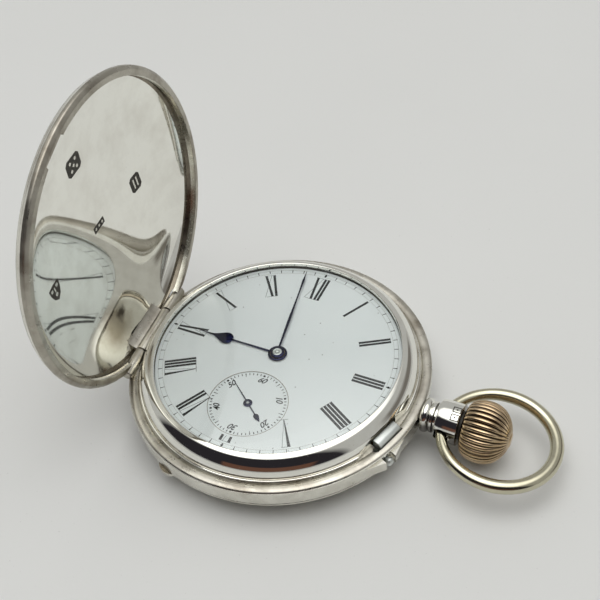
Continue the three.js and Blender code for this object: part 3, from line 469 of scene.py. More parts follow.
def lid_mirror():
    """The lid's mirror inside: faint clouding all over, and painted brown and black reflections of a dark
    thing near the hinge.
    """
    material, colour, silver = silver_base("lid_mirror", (0.50, 0.46, 0.39), 0.035, 0.3, 0.005)
    tree = material.node_tree
    place = millimetres(tree)
    wander = product(noise(place, 0.35, 3), 3)
    # Two round patches near the hinge, brown and near black: painted reflections.
    painted_brown_reflection = (19, 199, 3.4, 6.8, 0.7, (0.33, 0.27, 0.18))
    painted_black_reflection = (17.9, 191, 2.1, 3.3, 0.9, (0.06, 0.048, 0.035))
    for radius, azimuth, inner, outer, most, reflected_colour in (painted_brown_reflection, painted_black_reflection):
        spot = OPENED @ Vector((*polar(radius, azimuth), 12))
        apart = node(tree, "ShaderNodeVectorMath", {0: place, 1: spot}, operation="DISTANCE")
        away = apart.outputs["Value"]
        share = remap(maths("ADD", away, wander), inner, outer, most, 0)
        silver = blend(share, silver, reflected_colour)
    tree.links.new(silver, colour)
    return material


def dark_underside(name):
    """Mirror silver, bright on top, with a painted dark reflection on its underside, blurred by a little
    noise.
    """
    material, colour, silver = silver_base(name, (0.55, 0.50, 0.42), 0.05, 0.2, 0.03)
    tree = material.node_tree
    normal = node(tree, "ShaderNodeTexCoord").outputs["Normal"]
    upward = node(tree, "ShaderNodeSeparateXYZ", {0: normal}).outputs[2]
    patchy = maths("ADD", upward, product(noise(millimetres(tree), 0.8, 3), 0.2))
    # Faces that point down go near black: a painted dark reflection, not tarnish.
    share = remap(patchy, 0.55, 0.3, 0, 0.87)
    tree.links.new(blend(share, silver, (0.07, 0.06, 0.053)), colour)
    return material


def enamel():
    """Glossy white vitreous enamel with pinholes and a faint unevenness."""
    material, place = graph_of("white_enamel")
    white = blend(noise(place, 0.12, 4, 0.5), (0.83, 0.865, 0.88), (0.89, 0.915, 0.92))
    cells = {"Vector": place, "Scale": 0.42}
    pits = node(place.id_data, "ShaderNodeTexVoronoi", cells).outputs["Distance"]
    pinhole = remap(pits, 0.035, 0.06, 0.75, 0)
    colour = blend(pinhole, white, (0.2, 0.19, 0.17))
    dull = remap(noise(place, 1.5, 3), 0.3, 0.8, 0.05, 0.14)
    return shaded(material, colour, dull, bump(noise(place, 0.5, 3), 0.08, 0.2), 0, coat=0.4)


def dial_paint(name, colour):
    """Fired paint, slightly uneven in depth."""
    material, place = graph_of(name)
    faded = tuple(0.8 * part + 0.025 for part in colour)
    share = remap(noise(place, 2.6, 4, 0.7), 0.55, 0.8, 0, 0.7)
    dull = remap(noise(place, 5, 2), 0.3, 0.8, 0.18, 0.4)
    return shaded(material, blend(share, colour, faded), dull, bump(noise(place, 8, 2), 0.15, 0.02), 0)


def blued_steel():
    """Heat-blued steel that runs from navy to violet, with a fine polish grain."""
    material, place = graph_of("blued_steel")
    share = remap(noise(place, 0.8, 3), 0.35, 0.7)
    grain = noise(stretched(place, (1, 12, 12), (0, 0, 0.4)), 3, 3)
    colour = blend(share, (0.008, 0.011, 0.04), (0.018, 0.016, 0.05))
    dull = remap(grain, 0.3, 0.7, 0.14, 0.26)
    return shaded(material, colour, dull, bump(grain, 0.1, 0.02))


def brushed_steel(name, colour, roughness, turn=(0, 0, 0)):
    """Steel with a straight grain and a little rust-brown in places."""
    material, place = graph_of(name)
    grain = noise(stretched(place, (0.6, 14, 14), turn), 2, 3)
    age = remap(noise(place, 0.9, 4), 0.56, 0.8, 0, 0.45)
    colour = blend(age, colour, (0.33, 0.28, 0.22))
    dull = remap(grain, 0.3, 0.7, roughness * 0.75, roughness * 1.3)
    return shaded(material, colour, dull, bump(grain, 0.2, 0.03))


def gilt():
    """Frosted gilding: a fine grained matte gold with rubbed, brighter patches."""
    material, place = graph_of("frosted_gilt")
    rubbed = remap(noise(place, 0.3, 4, 0.6), 0.45, 0.7)
    colour = blend(rubbed, (0.83, 0.58, 0.25), (0.93, 0.74, 0.42))
    dull = remap(rubbed, 0, 1, 0.42, 0.3)
    return shaded(material, colour, dull, bump(noise(place, 14, 2), 0.35, 0.03))


def ribbed_gold():
    """Rolled gold darkened in the grooves as painted shade; the mesh says how deep each point lies."""
    material, place = graph_of("ribbed_gold")
    depth = node(place.id_data, "ShaderNodeAttribute", attribute_name="groove").outputs["Fac"]
    patchy = remap(noise(place, 0.5, 4, 0.6), 0.4, 0.7)
    gold = blend(patchy, (0.54, 0.40, 0.245), (0.74, 0.57, 0.37))
    # The deeper a point lies in a groove, the nearer black it goes: painted shade in the creases.
    groove_shade = remap(depth, 0.06, 0.42, 0, 0.97)
    colour = blend(groove_shade, gold, (0.055, 0.03, 0.017))
    dull = remap(depth, 0, 1, 0.1, 0.5)
    return shaded(material, colour, dull, bump(noise(place, 9, 3), 0.15, 0.03))


def crystal_glass():
    """Thin clear glass: straight through, with a mirror share that grows towards grazing angles."""
    material, place = graph_of("crystal_glass")
    tree = material.node_tree
    tree.nodes.remove(tree.nodes["Principled BSDF"])
    facing = node(tree, "ShaderNodeLayerWeight", {"Blend": 0.5}).outputs["Facing"]
    mirror = maths("ADD", product(maths("POWER", facing, 5), 0.9), 0.028)
    clear = node(tree, "ShaderNodeBsdfTransparent", {"Color": (0.975, 0.985, 0.98, 1)})
    smear = remap(noise(place, 0.4, 4), 0.4, 0.8, 0.01, 0.06)
    gloss = node(tree, "ShaderNodeBsdfGlossy", {"Color": (1, 1, 1, 1), "Roughness": smear})
    both = node(tree, "ShaderNodeMixShader", {0: mirror, 1: clear.outputs[0], 2: gloss.outputs[0]})
    tree.links.new(both.outputs[0], tree.nodes["Material Output"].inputs["Surface"])
    return material


def ruby():
    material, place = graph_of("ruby")
    colour = blend(noise(place, 3, 3), (0.45, 0.01, 0.06), (0.7, 0.05, 0.14))
    return shaded(material, colour, 0.08, bump(noise(place, 6, 2), 0.05, 0.02), 0, coat=0.6)


def black_oxide():
    """The dark bottom of a punched mark, and painted shade in the gap at the pendant's collar."""
    material, place = graph_of("black_oxide")
    share = noise(place, 6, 4)
    colour = blend(share, (0.02, 0.018, 0.015), (0.10, 0.09, 0.075))
    return shaded(material, colour, 0.55, bump(share, 0.3, 0.03), 0.4)


BRIGHT_SILVER = (0.90, 0.895, 0.835)
SILVER = polished_metal("case_silver", (0.77, 0.755, 0.685), (0.30, 0.265, 0.21), 0.2, 0.5, 0.12, 18)
WORN_SILVER = polished_metal("worn_silver", (0.61, 0.585, 0.515), (0.22, 0.185, 0.14), 0.3, 0.8, 0.2, 12)
DULL_SILVER = polished_metal("dull_silver", (0.46, 0.435, 0.375), (0.17, 0.14, 0.105), 0.32, 0.85, 0.2, 12)
# Near-black silver used as painted shade in the lid's inner step and on the thumb lip's top.
PAINTED_SHADE_SILVER = polished_metal("painted_shade_silver", (0.26, 0.23, 0.18), (0.09, 0.07, 0.05), 0.26, 0.9, 0.15, 12)
MIRROR_SILVER = polished_metal("mirror_silver", BRIGHT_SILVER, (0.55, 0.50, 0.42), 0.04, 0.2, 0.03)
LID_MIRROR = lid_mirror()
PENDANT_SILVER = dark_underside("pendant_silver")
NICKEL = polished_metal("bow_nickel", (0.63, 0.60, 0.455), (0.33, 0.28, 0.20), 0.13, 0.35)
GOLD = ribbed_gold()
STEEL = brushed_steel("catch_steel", (0.66, 0.69, 0.665), 0.42)
MOVEMENT_STEEL = brushed_steel("movement_steel", (0.58, 0.59, 0.60), 0.2, (0, 0, 0.8))
BLUED = blued_steel()
ENAMEL = enamel()
BLACK_PAINT = dial_paint("black_dial_paint", (0.012, 0.012, 0.014))
SEPIA_PAINT = dial_paint("sepia_line", (0.22, 0.17, 0.12))
PALE_PAINT = dial_paint("pale_line", (0.44, 0.41, 0.37))
GLASS = crystal_glass()
GILT = gilt()
BRASS = polished_metal("wheel_brass", (0.84, 0.66, 0.33), (0.45, 0.3, 0.12), 0.22, 0.3)
RUBY = ruby()
OXIDE_AND_SHADE = black_oxide()

# ---- case band
LID_HINGE_PLACE = LID_SIDE @ on_hinge(HINGE_CHORD, LID_HINGE.z)
BACK_HINGE_PLACE = TWELVE_SIDE @ on_hinge(BACK_HINGE.y, BACK_HINGE.z)
CUVETTE_HINGE_PLACE = TWELVE_SIDE @ on_hinge(CUVETTE_HINGE.y, CUVETTE_HINGE.z)
KNUCKLE_GAP = 0.3


def knuckle_clearance(half_length):
    reach = half_length + KNUCKLE_GAP
    return disc(HINGE_CLEARANCE_RADIUS, -reach, reach)


def knuckle(near, far, far_radius):
    """A knuckle along Z, with one end rounded more than the other if it is an outer one."""
    return [(0, near), (KNUCKLE_RADIUS, near, 0.12), (KNUCKLE_RADIUS, far, far_radius), (0, far)]


def outer_knuckles():
    """The case's two outer knuckles as two solids with a domed end each."""
    inner = MIDDLE_KNUCKLE + KNUCKLE_GAP
    sides = [knuckle(side * inner, side * HINGE_HALF_LENGTH, 0.7) for side in (-1, 1)]
    return merged(*[turned(rounded(outline), SMALL) for outline in sides])


def middle_knuckle():
    return turned(rounded(knuckle(-MIDDLE_KNUCKLE, MIDDLE_KNUCKLE, 0.12)), SMALL)


def push_guard(side):
    """A wedge beside the push piece that runs out to nothing along the band."""
    near, far, half_height = 1, 4.2, 0.95
    outline = [(-0.6, near), (0.95, near), (0.55, near + 0.9), (-0.35, far), (-0.9, far)]
    outline = [(CASE_RADIUS + x, side * y) for x, y in outline]
    return raised(outline, PUSH_Z - half_height, PUSH_Z + half_height)


LEDGE_CROWN = smooth_line(
    [(25.84, 7.42), (25.65, 7.58), (25.3, 7.68), (24.85, LEDGE), (24.4, 7.6), (24.15, 7.45)], 4
)


def case_band():
    profile = rounded([
        (21, BAND_BOTTOM), (CASE_RADIUS - 0.02, BAND_BOTTOM, 0.12), (CASE_RADIUS, 7.2, 0.05), (25.83, 7.23),
        (25.84, 7.29), (25.88, 7.34, 0.03), *LEDGE_CROWN,
        (SEAT_OUTER, LEDGE - 0.25), (SEAT_OUTER, SEAT_TOP, 0.1), (21.3, SEAT_TOP, 0.1),
        (21.3, 9.1), (21, 8.9), (21, 6.9), (24.9, 6.9), (24.9, 5.1), (21, 5.1),
    ])
    band = to_object("band_shell", turned(profile))
    catch_hole = disc(0.6, 6.6, LEDGE + 1)
    cut(
        band,
        (knuckle_clearance(MIDDLE_KNUCKLE), LID_HINGE_PLACE),
        (knuckle_clearance(MIDDLE_KNUCKLE), BACK_HINGE_PLACE),
        (block(SEAT_OUTER + 0.05, 24.86, -2.72, 2.72, 6.4, LEDGE + 1), AT_CATCH),
        (catch_hole, AT_CATCH @ moved(24.2, -3)),
    )
    guards = [(push_guard(side), turn(PUSH_AZIMUTH)) for side in (-1, 1)]
    join(band, (outer_knuckles(), LID_HINGE_PLACE), (outer_knuckles(), BACK_HINGE_PLACE), *guards)
    cut(band, (disc(0.9, 23, 28), AT_PUSH))
    finish(bevelled(band, 0.03), SILVER, "case", ["case_band"])

    def is_ledge(centre, normal):
        return centre.z > LEDGE - 0.3 and centre.xy.length > SEAT_OUTER

    repaint(band, WORN_SILVER, is_ledge)


case_band()

# ---- bezel and crystal


def bezel():
    slope = smooth_line([
        (21.3, 11.17), (21.75, 11.02), (22.1, 10.8), (22.57, 10.39), (22.98, 9.92), (23.32, 9.4),
        (23.585, 8.83), (23.74, 8.3),
    ], 4)
    foot = [(23.78, 8.02, 0.06), (23.7, 7.9, 0.03), (23.92, 7.88, 0.05), (24, 7.75, 0.05),
            (23.9, 7.55, 0.05)]
    profile = rounded([
        (20.95, 10.55, 0.03), (20.98, 11.1, 0.06), (21.1, 11.18, 0.05), *slope, *foot,
        (22.6, 7.55), (22.6, 9.8), (21.3, 10.1), (21.75, 10.25), (21.75, 10.7), (21.2, 10.65),
    ])
    ring = to_object("bezel_ring", turned(profile))
    cut(
        ring,
        (block(SEAT_OUTER - 0.1, 26, -2.95, 2.95, 7, 9.6), AT_CATCH),
        (block(23.12, 26, -7.5, 7.5, 7, 9.8), AT_CATCH),
        (knuckle_clearance(HINGE_HALF_LENGTH), LID_HINGE_PLACE),
    )
    finish(ring, MIRROR_SILVER, "case", ["bezel"], 28)


def crystal():
    outer = smooth_line([(0, 12.1), (6, 12.03), (12, 11.8), (17, 11.44), (20, 11.1), (21.1, 10.76)], 6)
    inner = smooth_line([(20.3, 10.82), (17, 11.06), (12, 11.4), (6, 11.62), (0, 11.7)], 6)
    edge = [(21.55, 10.52), (21.6, 10.42), (21.55, 10.32), (21, 10.4)]
    glass = to_object("crystal_dome", turned([*outer, *edge, *inner]))
    finish(glass, GLASS, "case", ["crystal"], 60)


bezel()
crystal()

# ---- front lid
LID_INNER = dome(13.5, 24.6, 0, -1, -0.786, 22.1, 8)
LID_OUTER = dome(14.1, 0, 25.35, -1, -0.513, 21, 7.5)


def lid_inner_height(radius):
    """The height of the shut lid's inner surface above the case's bottom."""
    for outside, inside in zip(LID_INNER, LID_INNER[1:]):
        if inside.x <= radius <= outside.x:
            share = (radius - inside.x) / (outside.x - inside.x)
            return inside.y + (outside.y - inside.y) * share
    return LID_INNER[-1].y


def front_lid():
    profile = rounded([
        *LID_OUTER, (25.62, 9.4, 0.1), (CASE_RADIUS, 8.95, 0.3), (CASE_RADIUS, 8.35, 0.45),
        (25.3, 7.85, 0.3), (24.4, 7.85, 0.12), (24.3, 8.85, 0.05), (24.9, 9.1, 0.1), *LID_INNER,
    ], 6)
    shell = to_object("lid_shell", turned(profile), LID_SIDE)
    behind = -HINGE_CHORD - 0.3
    cut(
        shell,
        (block(-30, behind, -16, 16, 7, LID_HINGE.z + 2.45), LID_SIDE),
        (block(23.5, 24.85, -2.8, 2.8, 7, 8.75), AT_CATCH),
        (knuckle_clearance(HINGE_HALF_LENGTH), LID_HINGE_PLACE),
    )
    leaf_section = [(behind, 9), (-23.52, 9.1), (-23.46, 9.42), (-23.16, 9.95), (-22.8, 10.4),
                    (-22.4, 10.95), (-22.4, 11.3), (behind, 10.5)]
    leaf = raised(leaf_section, 0, 2 * MIDDLE_KNUCKLE)
    join(shell, (leaf, LID_SIDE @ upright(MIDDLE_KNUCKLE)), (middle_knuckle(), LID_HINGE_PLACE))
    bevelled(shell, 0.04)
    shell.data.transform(Matrix.Scale(MM, 4) @ OPENED @ Matrix.Scale(1 / MM, 4))
    finish(shell, SILVER, "front_lid", ["front_lid"], 30)
    to_shut = OPENED.inverted()

    def is_inside(centre, normal):
        return (to_shut @ centre).z > 9.5 and (to_shut.to_3x3() @ normal).z < -0.1

    def is_rim(centre, normal):
        shut = to_shut @ centre
        return shut.z < 9.15 and shut.xy.length > 24.35

    def is_inner_wall(centre, normal):
        shut = to_shut @ centre
        return 8.8 < shut.z < 10.0 and 24.2 < shut.xy.length < 25.1

    def is_leaf(centre, normal):
        shut = LID_SIDE.inverted() @ to_shut @ centre
        between = abs(shut.y) < MIDDLE_KNUCKLE + 0.05 and shut.z < 11.1
        return between and shut.x < -22.3 and shut.xy.length < 24.3

    repaint(shell, LID_MIRROR, is_inside)
    repaint(shell, DULL_SILVER, is_rim)
    # The inner wall of the rim step goes near black: painted shade in the recess.
    repaint(shell, PAINTED_SHADE_SILVER, is_inner_wall)
    repaint(shell, WORN_SILVER, is_leaf)


front_lid()


def bent_plates(outlines, place):
    """Thin plates on a curved face; place(x, y, is_top) says where each corner of a plate lies."""
    plates = []
    for outline in outlines:
        plate = raised(outline, 0, 1)
        for vertex in plate.verts:
            vertex.co = place(vertex.co.x, vertex.co.y, vertex.co.z > 0.5)
        plates.append(plate)
    return merged(*plates)


def on_lid(outlines, at, low, high):
    """Thin plates that follow the lid's inner surface, in shut-lid millimetres."""

    def place(x, y, is_top):
        x, y = x + at[0], y + at[1]
        return Vector((x, y, lid_inner_height(math.hypot(x, y)) - (high if is_top else low)))

    return bent_plates(outlines, place)


def punched_mark(name, outline, at, relief):
    """A small punch inside the lid: a dark field with plain bright shapes standing in it."""
    field = to_object(name, on_lid([outline], at, -0.03, 0.012), OPENED)
    finish(field, OXIDE_AND_SHADE, "front_lid")
    shapes = to_object(name + "_relief", on_lid(relief, at, 0.005, 0.03), OPENED)
    finish(shapes, SILVER, "front_lid")


def dots(points, radius, sides=10):
    around = [polar(radius, 360 * k / sides) for k in range(sides)]
    return [[(x + dx, y + dy) for dx, dy in around] for x, y in points]


def bars(rows, length, width):
    """Short bars along X, centred at each (x, y)."""
    return [rectangle(x - length / 2, x + length / 2, y - width / 2, y + width / 2) for x, y in rows]


def cut_corners(half_x, half_y, corner):
    """A rectangle with its four corners cut off."""
    low_x, low_y = half_x - corner, half_y - corner
    return [(half_x, low_y), (low_x, half_y), (-low_x, half_y), (-half_x, low_y),
            (-half_x, -low_y), (-low_x, -half_y), (low_x, -half_y), (half_x, -low_y)]


FOUR_PIPS = [(-0.75, 0.75), (0.75, 0.75), (-0.75, -0.75), (0.75, -0.75)]
THREE_PIPS = [(0.6, -0.8), (0.6, 0.8), (-0.7, 0)]
SHIELD = [(1.25, 1.6), (1.4, 0), (1.25, -1.5), (0.1, -1.4), (-1.1, -0.95), (-1.9, 0), (-1.2, 1), (0, 1.5)]
LID_PUNCHES = (
    (cut_corners(1.6, 1.95, 0.55), (13.1, 0), dots(FOUR_PIPS, 0.3) + dots([(0, 0)], 0.42, 4)),
    (cut_corners(1.6, 1.45, 0.5), (-1.9, 12.5), bars([(0, -0.45), (0, 0.45)], 1.9, 0.32)),
    (cut_corners(0.62, 1.6, 0.08), (-0.8, 0.8), dots([(0, -1), (0, 0), (0, 1)], 0.3, 4)),
    (SHIELD, (-0.05, -14.3), dots(THREE_PIPS, 0.34) + bars([(0.25, 0)], 0.9, 0.28)),
)
for number, punch in enumerate(LID_PUNCHES, 1):
    punched_mark(f"lid_punch_{number}", *punch)

# ---- back cover and cuvette


def back_cover():
    outer = smooth_line([
        (8, 0), (12, 0.16), (16, 0.45), (20, 1.02), (23, 1.9), (24.9, 2.95), (25.6, 3.75),
    ], 6)
    inner = smooth_line([(25, 3.95), (24.3, 3.25), (21.2, 2), (16, 1.05), (8, 0.55)], 6)
    edge = [(25.78, 4.05, 0.1), (25.78, 4.36, 0.08), (25.1, 4.36, 0.08), (25.1, 4.1, 0.05)]
    profile = rounded([(0, 0), (4, 0), *outer, *edge, *inner, (0, 0.55)], 3)
    shell = to_object("back_shell", turned(profile))
    behind = -BACK_HINGE.y - 0.3
    cut(
        shell,
        (block(-30, behind, -16, 16, 1.2, 6), TWELVE_SIDE),
        (knuckle_clearance(HINGE_HALF_LENGTH), BACK_HINGE_PLACE),
    )
    leaf = block(behind, behind + 0.8, -MIDDLE_KNUCKLE, MIDDLE_KNUCKLE, 2.3, BACK_HINGE.z)
    lip = raised(smooth_line([
        (25.1, -2.3), (25.65, -1.8), (26.15, -1.1), (26.4, 0), (26.15, 1.1), (25.65, 1.8), (25.1, 2.3),
    ], 4), 3.5, 4.1)
    join(shell, (leaf, TWELVE_SIDE), (middle_knuckle(), BACK_HINGE_PLACE), (lip, turn(THUMB_LIP_AZIMUTH)))
    finish(bevelled(shell, 0.06, 3), SILVER, "back_cover", ["back_cover"])

    def is_lip_top(centre, normal):
        return 3.9 < centre.z < 4.15 and normal.z > 0.8 and centre.xy.length > 25.5

    # The lip's top face goes near black: painted shade in the gap under the band.
    repaint(shell, PAINTED_SHADE_SILVER, is_lip_top)


def cuvette():
    """The inner dust cover, on a small hinge of its own."""
    radius, half_length, outer_half_length, gap = 0.6, 2.6, 6.2, 0.2
    inner = dome(2, 0, 22, 0.337, 0.313, 18, 8, 30)
    outer = dome(1.6, 22.55, 0, 0.337, 0.313, 18, 8, 30)
    profile = rounded([*inner, (22.15, 4.4, 0.08), (22.6, 4.4, 0.08), *outer], 3)
    shell = to_object("cuvette_shell", turned(profile))
    reach = outer_half_length + gap
    cut(
        shell,
        (block(-30, -CUVETTE_HINGE.y - 0.1, -16, 16, 1, 6), TWELVE_SIDE),
        (disc(radius + gap, -reach, reach), CUVETTE_HINGE_PLACE),
    )
    leaf = block(-CUVETTE_HINGE.y, -CUVETTE_HINGE.y + 0.8, -half_length, half_length, 2.95, CUVETTE_HINGE.z)
    join(shell, (leaf, TWELVE_SIDE), (disc(radius, -half_length, half_length), CUVETTE_HINGE_PLACE))
    finish(bevelled(shell, 0.04), MIRROR_SILVER, "cuvette", ["cuvette"])


back_cover()
cuvette()

# ---- pendant, bow and crown


def pendant():
    neck = smooth_line([(2, 25.92), (2.62, 26.15), (2.86, 26.65), (2.72, 27.15), (2.36, 27.5)], 5)
    profile = rounded([
        (0.7, 25), (1, 25), (1, 25.95), *neck, (2.36, 27.54, 0.03), (2.6, 27.64, 0.12), (2.62, 28.1, 0.18),
        (2.2, 28.25, 0.05), (2.2, 28.6, 0.05), (3.28, 28.72, 0.22), (3.42, 29.6), (3.45, 32.4, 0.15),
        (2.35, 32.42, 0.05), (2.3, 33.3, 0.1), (1.05, 33.3), (1.05, 28.25), (0.7, 28.25),
    ], 4)
    tube = to_object("pendant_tube", turned(profile, MEDIUM), ALONG_PENDANT)
    for side in (-1, 1):
        place = AT_BOW_PIVOT @ turn(-90 * side, "X")
        cut(tube, (turned([(0, 1.9), (1.4, 1.9), (1.42, 3.1), (1.75, 3.6), (0, 3.6)], SMALL), place))
    finish(bevelled(tube, 0.05), PENDANT_SILVER, "case", ["pendant"])

    def is_collar(centre, normal):
        return centre.x > 32.38 and abs(normal.x) < 0.9

    # The collar's sides go near black: painted shade in the gap to the crown.
    repaint(tube, OXIDE_AND_SHADE, is_collar)


BOW_CENTRE = 8.7
BOW_HALF_LENGTH = 9.1
BOW_HALF_WIDTH = 8.8
BOW_THICK = 1.1
BOW_THIN = 0.9
BOW_DROOP = 3.7


def bow():
    """An oval wire, thin at the ends that hang in the pendant tube."""
    steps = 120
    sides = 28
    length, width = BOW_HALF_LENGTH, BOW_HALF_WIDTH
    start = math.asin(2.4 / width)
    build = bmesh.new()
    rings = []
    for i in range(steps + 1):
        angle = math.pi - start - 2 * (math.pi - start) * i / steps
        centre = Vector((BOW_CENTRE + length * math.cos(angle), width * math.sin(angle), 0))
        tangent = Vector((length * math.sin(angle), -width * math.cos(angle), 0)).normalized()
        across = Vector((tangent.y, -tangent.x, 0))
        share = min(1, max(0, (centre.x - 1) / 9))
        radius = BOW_THIN + (BOW_THICK - BOW_THIN) * share * share * (3 - 2 * share)
        around = [polar(radius, 360 * k / sides) for k in range(sides)]
        rings.append([build.verts.new(centre + across * x + Vector((0, 0, z))) for x, z in around])
    for before, after in zip(rings, rings[1:]):
        bridge(build, before, after)
    build.faces.new(rings[0])
    build.faces.new(rings[-1])
    place = AT_BOW_PIVOT @ turn(BOW_DROOP, "Y")
    finish(to_object("bow_wire", build, place), NICKEL, "bow", ["bow"], 50)


def crown():
    """An onion of round ribs parted by sharp grooves that close on a small flat pole."""
    ribs = 34
    depth = 0.1
    segments = 10 * ribs
    line = smooth_line([
        (3.5, 32.98), (4.15, 33.45), (4.67, 34.4), (4.9, 35.4), (4.93, 36.3), (4.76, 37.4), (4.2, 38.6),
        (3.2, 39.6), (2.1, 40.2), (1.15, 40.5),
    ], 4)
    build = bmesh.new()
    layer = build.verts.layers.float.new("groove")
    rings = []
    last = len(line) - 1
    for i, (radius, height) in enumerate(line):
        fade = min(1, i / 4, (last - i) / 5 + 0.15)
        ring = []
        for k in range(segments):
            across = 2 * ((ribs * k / segments) % 1) - 1
            groove = 1 - math.sqrt(max(0, 1 - 0.96 * across * across))
            reach = radius * (1 + depth * fade * (0.3 - groove))
            vertex = build.verts.new((*polar(reach, 360 * k / segments), height))
            vertex[layer] = groove * fade
            ring.append(vertex)
        rings.append(ring)
    for lower, upper in zip(rings, rings[1:]):
        bridge(build, lower, upper)
    socket = [(3.1, 32.93), (2.6, 33.05), (2.6, 34.2), (0.55, 34.2), (0.55, 37)]
    pole = [(1.05, 40.6), (0.5, 40.62)]
    for edge, inward in ((rings[0], socket), (rings[-1], pole)):
        for radius, height in inward:
            ring = [build.verts.new((*polar(radius, 360 * k / segments), height)) for k in range(segments)]
            bridge(build, edge, ring)
            edge = ring
        build.faces.new(edge)
    finish(to_object("crown_onion", build, ALONG_PENDANT), GOLD, "crown", ["crown"], 75)


TUBE_RADIUS = 3.44
TUBE_PUNCH_X = 31.65


def on_tube(outlines, angle, low, high):
    """Thin plates wrapped on the pendant tube; an outline is (along the tube, round the tube)."""

    def place(along, around, is_top):
        lean = math.radians(angle) + around / TUBE_RADIUS
        reach = TUBE_RADIUS + (high if is_top else low)
        return Vector((TUBE_PUNCH_X + along, -reach * math.cos(lean), PENDANT_Z + reach * math.sin(lean)))

    return bent_plates(outlines, place)


def tube_punches():
    """Two tiny punched lozenges, each a dark border with a dark dot inside it."""
    half_x, half_y, line = 0.62, 0.5, 0.17
    sides = bars([(0, half_y), (0, -half_y)], 2 * half_x + line, line)
    for x in (-half_x, half_x):
        rows = [half_y * k / 3 for k in range(-3, 4)]
        sides.append([(x - line / 2, y) for y in rows] + [(x + line / 2, y) for y in reversed(rows)])
    for number, angle in enumerate((92, 68), 1):
        punch = on_tube(sides + dots([(0, 0)], 0.16, 8), angle, -0.05, 0.02)
        finish(to_object(f"tube_punch_{number}", punch), OXIDE_AND_SHADE, "case")


pendant()
tube_punches()
bow()
crown()

# ---- catch and push piece


def lock_spring():
    """The catch's nose with the root of its long curved spring."""
    section = rounded([
        (22.98, 6.9), (24.68, 6.9), (24.68, 8, 0.3), (24.05, 8.42, 1), (22.98, 8.55, 0.2),
    ], 6)
    nose = to_object("catch_nose", raised(section, 0, 5), upright(2.5))
    bevelled(nose, 0.15, 3)
    arc = [polar(23.55, -70 + 2.5 * k) for k in range(29)] + [polar(22.95, -2.5 * k) for k in range(29)]
    join(nose, (block(22.95, 23.55, -2.5, 2.5, 5.5, 7.1),), (raised(arc, 5.5, 6.4),))
    nose.data.transform(AT_CATCH)
    finish(nose, STEEL, "lock_spring", ["lock_spring"])


def push_piece():
    profile = rounded([
        (0, 24.3), (0.5, 24.3), (0.5, 26.1), (0.68, 26.15, 0.05), (0.78, 26.6, 0.2), (0.55, 26.95, 0.25),
        (0, 27),
    ], 4)
    button = to_object("push_button", turned(profile, SMALL), AT_PUSH)
    finish(button, STEEL, "push_piece", ["push_piece"])


lock_spring()
push_piece()

# ---- dial
PAINT_THICKNESS = 0.012


def dial_face():
    profile = rounded([(0, 9.4), (DIAL_RADIUS, 9.4, 0.05), (DIAL_RADIUS, DIAL_TOP, 0.15), (0, DIAL_TOP)], 4)
    face = to_object("dial_enamel", turned(profile))
    sunk = disc(SUBDIAL_RADIUS, SUBDIAL_FLOOR, 11, MEDIUM)
    cut(face, (sunk, AT_SECONDS), (disc(0.4, 9, 11), AT_SECONDS), (disc(1.5, 9, 11),))
    finish(bevelled(face, 0.05), ENAMEL, "case", ["dial"])


FOOT = 13.85
HEAD = 19.25
THICK = 0.45
HAIR = 0.06
BAR_PITCH = 0.65
SERIF_REACH = 0.06
LETTER_WIDTH = {"I": 0.42, "V": 1.36, "X": 1.26}
LETTER_GAP = 0.22


def slanted(x_foot, x_head, foot_width, head_width):
    """A stroke from the numeral's foot to its head, given by its left edge at each end."""
    return [(x_foot, FOOT), (x_foot + foot_width, FOOT), (x_head + head_width, HEAD), (x_head, HEAD)]


def letter(char, x):
    if char == "I":
        return [slanted(x, x, THICK, THICK)]
    if char == "V":
        thin_head = x + LETTER_WIDTH["V"] - HAIR
        return [slanted(x + 0.6, x, 0.1, THICK + 0.06), slanted(x + 0.64, thin_head, HAIR, HAIR)]
    thin_head = x + LETTER_WIDTH["X"] - HAIR
    return [slanted(x + 0.78, x, THICK, THICK), slanted(x - 0.3, thin_head, HAIR, HAIR)]


def serifs(left, right):
    """Hairlines that close the numeral's head and foot."""
    across = (left - SERIF_REACH, right + SERIF_REACH)
    return [rectangle(*across, HEAD - HAIR, HEAD), rectangle(*across, FOOT, FOOT + HAIR)]


def numeral(text):
    """Closed strokes with x to the reader's right and y outwards, centred on the hour line."""
    width = 0
    places = []
    for before, char in zip(" " + text, text):
        if before == char == "I":
            width += BAR_PITCH - THICK
        elif before != " ":
            width += LETTER_GAP
        places.append((char, width))
        width += LETTER_WIDTH[char]
    strokes = [stroke for char, x in places for stroke in letter(char, x - width / 2)]
    return strokes + serifs(-width / 2, width / 2)


def ring_band(radius, width, steps=240):
    """A thin ring in short pieces."""
    outer = [polar(radius + width / 2, 360 * k / steps) for k in range(steps)]
    inner = [polar(radius - width / 2, 360 * k / steps) for k in range(steps)]
    return [list(corners) for corners in zip(outer, outer[1:] + outer[:1], inner[1:] + inner[:1], inner)]


def tick(inner, outer, width_in, width_out, azimuth, centre=(0, 0)):
    half_in, half_out = width_in / 2, width_out / 2
    outline = [(inner, -half_in), (outer, -half_out), (outer, half_out), (inner, half_in)]
    return spun(outline, azimuth, centre)


def painted(name, outlines, floor, material):
    """Thin paint on the enamel: each outline becomes a very low prism."""
    builds = [raised(outline, floor - 0.004, floor + PAINT_THICKNESS) for outline in outlines]
    finish(to_object(name, merged(*builds)), material, "case", sharp_deg=20)


HOURS = ["XII", "I", "II", "III", "IIII", "V", "VI", "VII", "VIII", "IX", "X", "XI"]
DIAMOND = [(19.55, 0), (20, -0.24), (20.45, 0), (20, 0.24)]
TRACK_INNER, TRACK_OUTER = 19.62, 20.34


